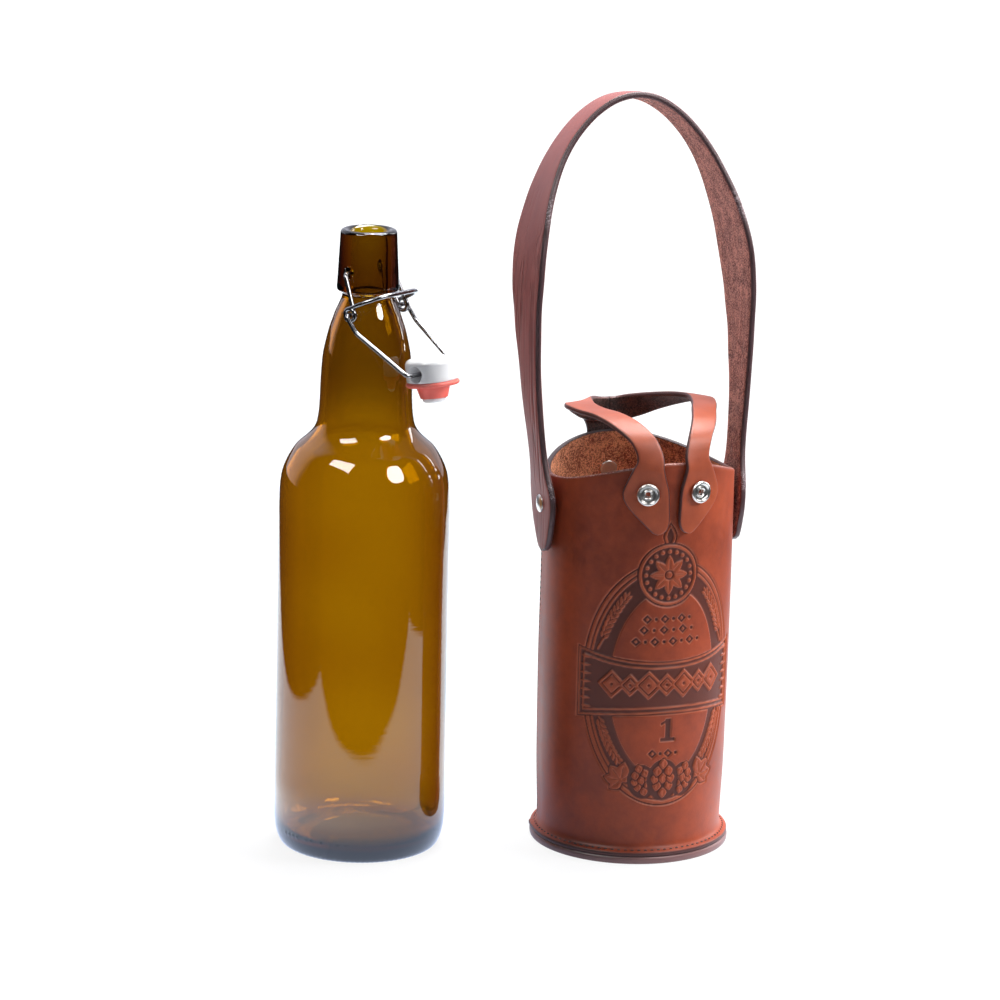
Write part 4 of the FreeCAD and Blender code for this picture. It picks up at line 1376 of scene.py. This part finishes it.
@dataclass
class HandleStrap:
    """Carrying strap bent into a tall hoop, riveted to the wall by leaf-shaped tabs."""

    palette: Palette
    lean: float = 8.0
    thickness: float = 3.3
    crown: float = 0.25
    stations: int = 260
    worn_and_lit_shoulder: Pair = (139.0, 158.0)  # worn edges with a painted highlight between these heights, and a second stretch of them on the tabs
    worn_and_lit_tab: Pair = (1.0, 13.0)          # stretch of them on the tabs
    waves: Pair = (38.0, 0.35)            # size and depth of the strap's waviness
    groove: Pair = (1.35, 0.10)           # radians per millimetre and depth of the creases
    left: tuple[Pair, ...] = (
        (53.2, -24.5), (53.2, -10.0), (53.3, 2.0), (54.7, 15.0), (56.4, 33.0),
        (57.9, 50.0), (59.0, 70.0), (59.6, 92.0), (59.2, 112.0), (57.6, 130.0),
        (54.2, 147.0), (49.4, 162.0), (42.8, 176.0), (34.4, 188.0), (24.0, 198.0),
        (12.5, 204.6), (1.0, 206.8))
    right: tuple[Pair, ...] = (
        (53.2, -24.5), (53.2, -10.0), (53.3, 2.0), (54.6, 15.0), (56.2, 33.0),
        (57.6, 50.0), (58.4, 70.0), (59.0, 90.0), (58.4, 112.0), (56.2, 130.0),
        (52.0, 147.0), (46.4, 162.0), (39.6, 176.0), (31.4, 188.0), (21.2, 198.2),
        (10.0, 204.8))
    widths: tuple[Pair, ...] = (
        (-24.5, 0.6), (-24.1, 3.0), (-23.0, 5.2), (-20.0, 7.6), (-13.0, 11.2),
        (-6.0, 14.0), (1.0, 15.3), (7.0, 14.6), (14.0, 12.0), (22.0, 10.4),
        (32.0, 10.2), (46.0, 11.2), (63.0, 12.8), (82.0, 15.4), (100.0, 18.6),
        (115.0, 21.2), (127.0, 22.0), (138.0, 21.2), (154.0, 18.6), (168.0, 15.6),
        (182.0, 13.5), (196.0, 12.6), (207.0, 12.3))

    def build(self) -> None:
        """Builds the strap with its worn edges and their painted highlight, leaning back about
        the rivets.
        """
        route = [(-x, z) for x, z in self.left] + [(x, z) for x, z in self.right[::-1]]
        path = smooth_path(route, self.stations)
        rise = smooth_path(self.widths, 200)
        half = np.interp(path[:, 1], rise[:, 0], rise[:, 1])
        along = unit(np.gradient(path, axis=0))
        middle = np.stack([path[:, 0], np.zeros(len(path)), path[:, 1]], 1)
        out = np.stack([-along[:, 1], np.zeros(len(path)), along[:, 0]], 1)
        across = np.tile([0.0, 1.0, 0.0], (len(path), 1))
        verts, faces, marks = strap_skin(middle, across, out, half, self.thickness,
                                         self.crown)
        verts += self.creases(verts)
        # painted highlight with wear: pale edges on the near side only, where the edges tilt
        # up to the light
        near = verts[:, 1] < 0
        height = verts[:, 2]
        low, top = self.worn_and_lit_shoulder
        shoulder = smooth_step(low, low + 6, height) * smooth_step(top, top - 6, height)
        low, top = self.worn_and_lit_tab
        tab = smooth_step(low, low + 3, height) * smooth_step(top, top - 4, height)
        marks["wear_and_highlight"] = marks["edge"] * near * np.clip(shoulder + tab, 0, 1)
        lean = math.radians(self.lean)
        y, z = verts[:, 1].copy(), verts[:, 2].copy()
        verts[:, 1] = y * math.cos(lean) + z * math.sin(lean)
        verts[:, 2] = z * math.cos(lean) - y * math.sin(lean) + HANDLE_Z
        piece = make_piece("handle_strap_leather", verts, faces, "handle",
                           self.palette.handle, marks)
        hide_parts("handle_strap")

    def creases(self, verts: np.ndarray) -> np.ndarray:
        """Slight waviness of the strap, with shallow creases along it.

        Args:
            verts: Vertices, upright about the rivets.

        Returns:
            Offset of each vertex.
        """
        offset = np.zeros_like(verts)
        offset[:, 0] = value_noise(verts, self.waves[0], 17) * self.waves[1]
        line = np.sin(verts[:, 1] * self.groove[0] + value_noise(verts, 30.0, 21) * 1.4)
        side = np.sign(verts[:, 0])
        depth = smooth_step(20, 60, verts[:, 2]) * smooth_step(190, 120, verts[:, 2])
        offset[:, 0] += side * self.groove[1] * line * depth
        return offset


@dataclass
class NeckStrap:
    """Forked strap: a riveted back tab and two arms that come forward to the snaps."""

    palette: Palette
    thickness: float = 2.5
    crown: float = 0.15
    wall_face: float = 48.75
    flap_gap: float = 0.25
    tab_face: float = 51.25
    stations: int = 150
    tab_stations: int = 60
    inner: tuple[Point, ...] = (
        (0.0, 50.4, 222.6), (4.5, 50.2, 222.8), (9.0, 46.0, 224.6), (13.0, 39.8, 226.4),
        (18.2, 28.0, 229.2), (23.2, 14.0, 231.9), (25.8, 3.2, 233.0), (23.8, -8.0, 232.4),
        (19.4, -20.0, 231.6), (14.0, -34.6, 228.6), (8.7, -45.0, 221.9),
        (6.0, -49.4, 213.0))
    outer: tuple[Point, ...] = (
        (0.0, 50.4, 209.0), (6.0, 50.1, 209.2), (17.0, 45.6, 213.2), (24.6, 38.6, 218.4),
        (31.4, 26.4, 224.2), (37.4, 13.0, 229.0), (40.2, 3.0, 230.4), (37.8, -8.0, 230.2),
        (33.0, -20.0, 229.9), (27.2, -34.8, 226.4), (21.6, -44.0, 220.3),
        (19.3, -47.2, 212.0))
    flap_inner: tuple[Pair, ...] = (
        (7.6, 12.5), (8.8, 7.0), (10.2, 1.0), (10.6, -6.0), (10.9, -12.0), (10.7, -15.8),
        (9.7, -18.6), (7.6, -20.4), (5.4, -20.9))
    flap_outer: tuple[Pair, ...] = (
        (-7.4, 12.5), (-9.8, 7.0), (-12.2, 0.0), (-10.6, -5.2), (-6.6, -10.2),
        (-2.4, -14.6), (0.8, -18.0), (3.2, -20.2), (5.2, -20.9))
    tab_outline: tuple[Pair, ...] = (
        (172.6, 0.6), (172.9, 3.6), (174.2, 6.6), (176.8, 9.0), (180.4, 10.4),
        (184.6, 10.8), (192.0, 10.8), (200.0, 10.8), (206.0, 11.2), (209.0, 12.2),
        (211.5, 13.6))

    def on_flap(self, inward: float, up: float) -> Point:
        """Point of the right flap, given its place beside and above the snap.

        Args:
            inward: Distance from the snap towards the middle of the front.
            up: Distance above the snap.

        Returns:
            The point.
        """
        turn = math.radians(-90 + SNAP_BEARING) - inward / self.wall_face
        r = self.wall_face + self.thickness + self.flap_gap
        return r * math.cos(turn), r * math.sin(turn), SNAP_Z + up

    def arm(self, name: str, flip: float, ridge_drop: float) -> bpy.types.Object:
        """One arm, from the middle of the fork to the tip of its flap.

        Args:
            name: Name of the piece.
            flip: 1 for the right arm, -1 for the left.
            ridge_drop: How much lower the ridge's inner edge lies.

        Returns:
            The arm.
        """
        inner = [*self.inner, *[self.on_flap(*q) for q in self.flap_inner]]
        outer = [*self.outer, *[self.on_flap(*q) for q in self.flap_outer]]
        ridge, spread = 6, 2.2
        dip = [ridge_drop * math.exp(-((k - ridge) / spread) ** 2) for k in range(len(inner))]
        inner = [(x - d * 0.8, y, z - d) for (x, y, z), d in zip(inner, dip)]
        pairs = smooth_path([(*a, *b) for a, b in zip(inner, outer)], self.stations)
        inside, outside = pairs[:, :3], pairs[:, 3:]
        middle = (inside + outside) / 2
        across = unit(inside - outside)
        along = unit(np.gradient(middle, axis=0))
        out = unit(np.cross(across, along))
        half = np.linalg.norm(inside - outside, axis=1) / 2
        verts, faces, marks = strap_skin(middle, across, out, half, self.thickness,
                                         self.crown)
        verts[:, 0] *= flip
        if flip < 0:
            faces = [face[::-1] for face in faces]
        marks["edge"] *= 0.85
        return make_piece(name, verts, faces, "stand", self.palette.strap,
                          marks)

    def tab(self) -> None:
        """Back tab, flat on the wall, up to the fork."""
        count = self.tab_stations
        rise = smooth_path(self.tab_outline, count)
        middle = np.stack([np.zeros(count), np.full(count, self.tab_face), rise[:, 0]], 1)
        across = np.tile([-1.0, 0.0, 0.0], (count, 1))
        out = np.tile([0.0, 1.0, 0.0], (count, 1))
        verts, faces, marks = strap_skin(middle, across, out, rise[:, 1],
                                         self.thickness - 0.1, 0.0)
        make_piece("neck_strap_tab", verts, faces, "stand", self.palette.strap,
                   marks)

    def build(self) -> None:
        """Builds the tab and both arms."""
        right = self.arm("neck_strap_arm_right", 1.0, 0.0)
        self.arm("neck_strap_arm_left", -1.0, 3.0)
        self.tab()
        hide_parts("neck_strap")


# ============================================================== sole, thread, studs
@dataclass
class SoleAndThread:
    """Round sole with a burnished edge, and the stitches of welt and side seam."""

    palette: Palette
    radius: float = 51.4
    thickness: float = 3.8
    segments: int = 160
    thread_r: float = 0.42
    thread_rise: float = 0.28
    stitch_r: float = 49.0
    stitch_z: float = 6.62
    stitch_step: float = 3.4
    stitch_len: float = 1.9
    seam_z: Pair = (12.0, 190.0)
    seam_stitch_len: float = 2.0

    def build(self) -> None:
        """Builds the sole and its stitches."""
        r, t = self.radius, self.thickness
        profile = smooth_path([(r - 0.9, 0.0), (r - 0.25, 0.25), (r, 1.0), (r + 0.1, 2.0),
                               (r - 0.05, 3.0), (r - 0.5, t - 0.1)], 22)
        skin = np.vstack([(0.02, 0.0), (r * 0.5, 0.0), profile, (r * 0.5, t), (0.02, t)])
        verts, faces = lathe(skin, self.segments)
        rim = np.repeat((skin[:, 0] > r - 1.0).astype(float), self.segments)
        top = np.repeat((skin[:, 1] > t - 0.05).astype(float), self.segments)
        plain = np.zeros(len(rim))
        marks = {"edge": rim, "flesh": top * (1 - rim), "stamp": plain, "wear_and_highlight": plain}
        sole = make_piece("carrier_sole_leather", verts, faces, "stand", self.palette.sole,
                          marks)
        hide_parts("carrier_sole")
        self.sew("welt_stitches", self.welt_paths())
        self.sew("seam_stitches", self.seam_paths(CarrierWall(self.palette)))

    def welt_paths(self) -> list[np.ndarray]:
        """Centre lines of the stitches sunk into the welt.

        Returns:
            One array of points for each stitch.
        """
        count = int(2 * math.pi * self.stitch_r / self.stitch_step)
        half = self.stitch_len / 2 / self.stitch_r
        return [np.array([(self.stitch_r * math.cos(turn + half * u),
                           self.stitch_r * math.sin(turn + half * u),
                           self.stitch_z + self.thread_rise - 0.5 * u * u)
                          for u in np.linspace(-1, 1, 7)])
                for turn in 2 * math.pi * np.arange(count) / count]

    def seam_paths(self, wall: CarrierWall) -> list[np.ndarray]:
        """Centre lines of the stitches up the wall's side seam.

        Args:
            wall: The wall that they lie on.

        Returns:
            One array of points for each stitch.
        """
        turn = math.radians(wall.seam_bearing) + wall.channel_side / WALL_R
        half = self.seam_stitch_len / 2
        paths = []
        for z in np.arange(*self.seam_z, wall.seam_step):
            r = wall.radius(z) + self.thread_rise
            paths.append(np.array([((r - 0.4 * u * u) * math.cos(turn),
                                    (r - 0.4 * u * u) * math.sin(turn), z + half * u)
                                   for u in np.linspace(-1, 1, 7)]))
        return paths

    def sew(self, name: str, paths: list[np.ndarray]) -> None:
        """Makes one piece of all the stitches of a row.

        Args:
            name: Name of the piece.
            paths: Centre line of each stitch, of seven points.
        """
        radii = self.thread_r * np.array([0.5, 0.9, 1, 1, 1, 0.9, 0.5])
        verts, faces, start = [], [], 0
        for path in paths:
            ring, quads = swept_tube(path, radii, 7)
            verts.append(ring)
            faces += [[i + start for i in q] for q in quads]
            start += len(ring)
        make_piece(name, np.vstack(verts), faces, "stand", self.palette.thread)


@dataclass
class Stud:
    """Turned metal fixing through the leather: profile of distance out and radius."""

    name: str
    place: Point
    outward: Point
    profile: tuple[Pair, ...]
    segments: int = 48

    def build(self, finish: bpy.types.Material) -> None:
        """Turns the stud and sets it in the leather, pointing outward.

        Args:
            finish: Its metal.
        """
        rows = [(d0 + (d1 - d0) * t, r0 + (r1 - r0) * t)
                for (d0, r0), (d1, r1) in zip(self.profile, self.profile[1:])
                for t in (0.06, 0.94)]
        turn = np.linspace(0, 2 * math.pi, self.segments, endpoint=False)
        out = np.array(self.outward)
        side = np.array([-out[1], out[0], 0.0])
        up = np.array([0.0, 0.0, 1.0])
        verts = np.array([np.array(self.place) + out * d
                          + (side * math.cos(a) + up * math.sin(a)) * max(r, 0.01)
                          for d, r in rows for a in turn])
        faces = grid_faces(len(rows), self.segments, False, True).tolist()
        piece = make_piece(self.name + "_metal", verts,
                           faces + end_caps(len(rows), self.segments), "stand", finish)
        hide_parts(self.name)


@dataclass
class Studs:
    """Rivets and snaps of the carrier."""

    palette: Palette
    wall_in: float = 45.48                # inner face of the wall from its axis
    handle_seat: float = 53.42            # caps on the handle's tabs from the axis
    back_seat: float = 51.32
    snap_seat: float = 51.4
    rivet_foot: tuple[Pair, ...] = (
        (-0.7, 0.0), (-0.7, 2.6), (-0.7, 4.2), (-0.3, 4.6), (0.0, 4.5), (0.0, 2.0))
    rivet_cap: tuple[Pair, ...] = (
        (0.0, 2.0), (0.0, 4.45), (0.15, 4.6), (0.5, 4.6), (0.8, 4.35), (1.15, 3.5),
        (1.45, 2.3), (1.62, 1.1), (1.7, 0.0))
    snap_foot: tuple[Pair, ...] = ((-0.7, 0.0), (-0.7, 3.4), (-0.3, 4.2), (0.0, 4.0),
                                   (0.0, 2.1))
    snap_cap: tuple[Pair, ...] = (
        (0.0, 2.1), (0.0, 5.6), (0.35, 5.75), (0.8, 5.7), (1.25, 5.45), (1.5, 5.0),
        (1.45, 4.55), (1.1, 4.2), (0.62, 3.95), (0.5, 3.6), (0.5, 3.05), (0.8, 2.8),
        (1.15, 2.55), (1.2, 2.2), (1.05, 1.9), (0.5, 1.5), (-1.0, 1.35), (-1.2, 1.0),
        (-1.2, 0.0))

    def through(self, foot: Sequence[Pair], cap: Sequence[Pair],
                seat: float) -> tuple[Pair, ...]:
        """Profile of a fixing: its foot inside the wall and its cap on the leather."""
        return (*[(self.wall_in + d, r) for d, r in foot], *[(seat + d, r) for d, r in cap])

    def rivet(self, name: str, outward: Point, z: float, seat: float) -> Stud:
        """Rivet with a low domed cap; seat is the cap's distance from the axis."""
        return Stud(name, (0.0, 0.0, z), outward,
                    self.through(self.rivet_foot, self.rivet_cap, seat))

    def snap(self, name: str, side: float) -> Stud:
        """Snap socket: rolled ring, dished plate and a low ring round its hole.

        Args:
            name: The CAD node that it replaces.
            side: -1 for the left one, 1 for the right.

        Returns:
            The snap.
        """
        turn = math.radians(-90.0 + side * SNAP_BEARING)
        return Stud(name, (0.0, 0.0, SNAP_Z), (math.cos(turn), math.sin(turn), 0.0),
                    self.through(self.snap_foot, self.snap_cap, self.snap_seat))

    def build(self) -> None:
        """Builds every stud."""
        for stud in (self.rivet("rivet_left", (-1.0, 0.0, 0.0), HANDLE_Z, self.handle_seat),
                     self.rivet("rivet_right", (1.0, 0.0, 0.0), HANDLE_Z, self.handle_seat),
                     self.rivet("rivet_back", (0.0, 1.0, 0.0), BACK_RIVET_Z, self.back_seat),
                     self.snap("snap_left", -1.0), self.snap("snap_right", 1.0)):
            stud.build(self.palette.nickel)


# ============================================================== studio
@dataclass(frozen=True)
class Lamp:
    """Soft lamp: place, aim and size in metres, power in watts, and what it reaches."""

    name: str
    at: Point
    aim: Point
    size: Pair
    watts: float
    shape: str = "RECTANGLE"
    diffuse: bool = True
    glossy: bool = True

    def build(self) -> None:
        """Hangs the lamp."""
        data = bpy.data.lights.new(self.name, "AREA")
        data.shape = self.shape
        data.size, data.size_y = self.size
        data.energy = self.watts
        lamp = bpy.data.objects.new(self.name, data)
        bpy.context.scene.collection.objects.link(lamp)
        lamp.location = self.at
        lamp.rotation_mode = "QUATERNION"
        way = Vector(self.aim) - Vector(self.at)
        lamp.rotation_quaternion = way.to_track_quat("-Z", "Y")
        lamp.visible_diffuse = self.diffuse
        lamp.visible_glossy = self.glossy


@dataclass
class Studio:
    """White table and backdrop, soft lamps and the camera."""

    eye: Point = (-0.74324, -1.94028, 0.69295)
    heading: float = 19.0
    tilt: float = 13.95
    roll: float = 1.439
    lens: float = 150.46
    table_half: float = 30.0
    white: Point = (1.0, 1.0, 1.0)
    table_white: float = 1.22
    table_colour: Point = (0.46, 0.47, 0.50)
    shadow_middle: Point = (-60.0, 10.0, 0.0)
    shadow_edge: Pair = (130.0, 420.0)    # the table goes over to plain white here
    shadow_share: float = 0.28
    paper_middle: Point = (-127.6, 7.6, 0.0)
    paper_reach: Point = (216.0, 330.0, 430.0)
    paper_ways: tuple[Point, ...] = (
        (-0.302, -0.953, 0.0), (-0.953, 0.302, 0.0), (0.953, -0.302, 0.0))
    paper_soft: float = 14.0
    # painted shadow: darker, bluer paper near the bottle, and the distances over which it
    # fades
    paper_shadow_colour: Point = (0.36, 0.42, 0.56)
    paper_far: Point = (0.84, 0.92, 1.0)
    paper_shadow_reach: Pair = (55.0, 150.0)
    paper_level: float = 2.1
    room_colour: Point = (0.80, 0.86, 1.0)
    room_level: float = 0.015
    soft_colour: Point = (0.95, 0.97, 1.0)
    soft_level: float = 0.10
    backdrop_colour: Point = (0.86, 0.87, 1.0)
    backdrop_way: Point = (0.302, 0.953, 0.1)
    backdrop_edge: Pair = (0.15, 0.50)
    lamps: tuple[Lamp, ...] = (
        Lamp("key_right", (1.95, -0.95, 1.35), (0.0, 0.0, 0.15), (0.9, 0.9), 52.0,
             glossy=False),
        Lamp("glint_right", (1.05, -1.70, 1.78), (0.0, 0.0, 0.15), (1.0, 1.0), 46.0,
             "DISK", diffuse=False),
        Lamp("glint_left", (-1.7, -0.7, 2.35), (-0.1, 0.0, 0.2), (1.5, 0.75), 52.0,
             diffuse=False),
        Lamp("top", (0.45, 0.45, 2.0), (0.0, 0.0, 0.1), (1.4, 1.0), 84.0),
        Lamp("edge_right", (1.9, 0.35, 0.85), (0.0, 0.0, 0.2), (0.8, 1.3), 24.0),
        Lamp("edge_left", (-1.3, 2.0, 0.9), (0.0, 0.0, 0.25), (1.7, 1.7), 32.0,
             glossy=False))

    def camera(self) -> None:
        """Sets the camera where the object is seen from."""
        data = bpy.data.cameras.new("camera")
        data.lens = self.lens
        data.sensor_width = 36.0
        data.clip_end = 50.0
        camera = bpy.data.objects.new("camera", data)
        bpy.context.scene.collection.objects.link(camera)
        turn, down, roll = (math.radians(a) for a in (self.heading, self.tilt, self.roll))
        way = Vector((math.sin(turn) * math.cos(down), math.cos(turn) * math.cos(down),
                      -math.sin(down)))
        side = Vector((math.cos(turn), -math.sin(turn), 0.0))
        up = side.cross(way)
        right = side * math.cos(roll) + up * math.sin(roll)
        top = up * math.cos(roll) - side * math.sin(roll)
        pose = Matrix((right, top, -way)).transposed().to_4x4()
        pose.translation = Vector(self.eye)
        camera.matrix_world = pose
        bpy.context.scene.camera = camera

    def floor(self) -> None:
        """Round-cornered white table top that keeps the object's shadow."""
        count = 96
        turn = np.linspace(0, 2 * math.pi, count, endpoint=False)
        x, y = (self.table_half * np.sign(w) * np.abs(w) ** 0.5
                for w in (np.cos(turn), np.sin(turn)))
        mesh = bpy.data.meshes.new("table_top")
        mesh.from_pydata([(float(a), float(b), 0.0) for a, b in zip(x, y)], [],
                         [list(range(count))])
        mesh.materials.append(self.table())
        top = bpy.data.objects.new("table_top", mesh)
        bpy.context.scene.collection.objects.link(top)

    def table(self) -> bpy.types.Material:
        """White to the eye, a lit sheet of paper in a dim room to what mirrors it, with a
        painted shadow near the bottle.

        Returns:
            The table's material.
        """
        f = Finish("white_table")
        kind = "ShaderNodeEmission"
        lit = f.node("ShaderNodeBsdfDiffuse", None, {"Color": self.table_colour}).outputs[0]
        room = self.glow(f, kind, self.room_colour, self.room_level)
        # painted shadow: what mirrors see of the paper is darker and bluer near the bottle
        near = f.away(self.paper_middle).between(*self.paper_shadow_reach)
        paper = self.glow(f, kind, f.blend(near, self.paper_shadow_colour, self.paper_far),
                          self.paper_level)
        shiny = f.choose(self.on_paper(f), room, paper)
        table = f.choose(f.ray("Glossy"), lit, shiny)
        far = f.away(self.shadow_middle).between(*self.shadow_edge)
        share = self.seen_white(f) * (1 - self.shadow_share + far * self.shadow_share)
        return f.end(f.choose(share, table, self.glow(f, kind, self.white, self.table_white)))

    def glow(self, f: Finish, kind: str, colour: object, level: float) -> bpy.types.NodeSocket:
        """An Emission or Background shader of a colour and level."""
        return f.node(kind, None, {"Color": colour, "Strength": level}).outputs[0]

    def seen_white(self, f: Finish) -> Shade:
        """1 for what the camera sees straight on or through glass."""
        return f.ray("Camera").most(f.ray("Transmission"))

    def on_paper(self, f: Finish) -> Shade:
        """1 on the lit paper round the object, 0 past its edges.

        Args:
            f: The finish that asks.

        Returns:
            The share.
        """
        off = f.vector("SUBTRACT", f.place(), self.paper_middle).outputs[0]
        soft = self.paper_soft
        edges = [1 - f.along(off, way).between(edge - soft, edge + soft)
                 for way, edge in zip(self.paper_ways, self.paper_reach)]
        return edges[0] * edges[1] * edges[2]

    def world(self) -> None:
        """White backdrop behind the object, darker room in front of it."""
        f = Surroundings("studio")
        kind = "ShaderNodeBackground"
        way = f.node("ShaderNodeTexCoord").outputs["Generated"]
        behind = f.along(way, self.backdrop_way).between(*self.backdrop_edge)
        shiny = f.choose(behind, self.glow(f, kind, self.room_colour, self.room_level),
                         self.glow(f, kind, self.backdrop_colour, 1.0))
        soft = self.glow(f, kind, self.soft_colour, self.soft_level)
        plain = f.choose(f.ray("Glossy"), soft, shiny)
        bpy.context.scene.world = f.end(f.choose(
            self.seen_white(f), plain, self.glow(f, kind, self.white, 1.0)))

    def build(self) -> None:
        """Builds the whole studio."""
        self.world()
        self.floor()
        for lamp in self.lamps:
            lamp.build()
        self.camera()
        bpy.context.scene.view_settings.view_transform = "Standard"


# ============================================================== main
def main() -> None:
    """Builds every piece in order."""
    logging.basicConfig(level=logging.INFO, format="%(message)s")
    palette = Palette()
    for part in (Bottle, Closure, CarrierWall, HandleStrap, NeckStrap, SoleAndThread, Studs):
        part(palette).build()
    Studio().build()


if __name__ == "__main__":
    main()
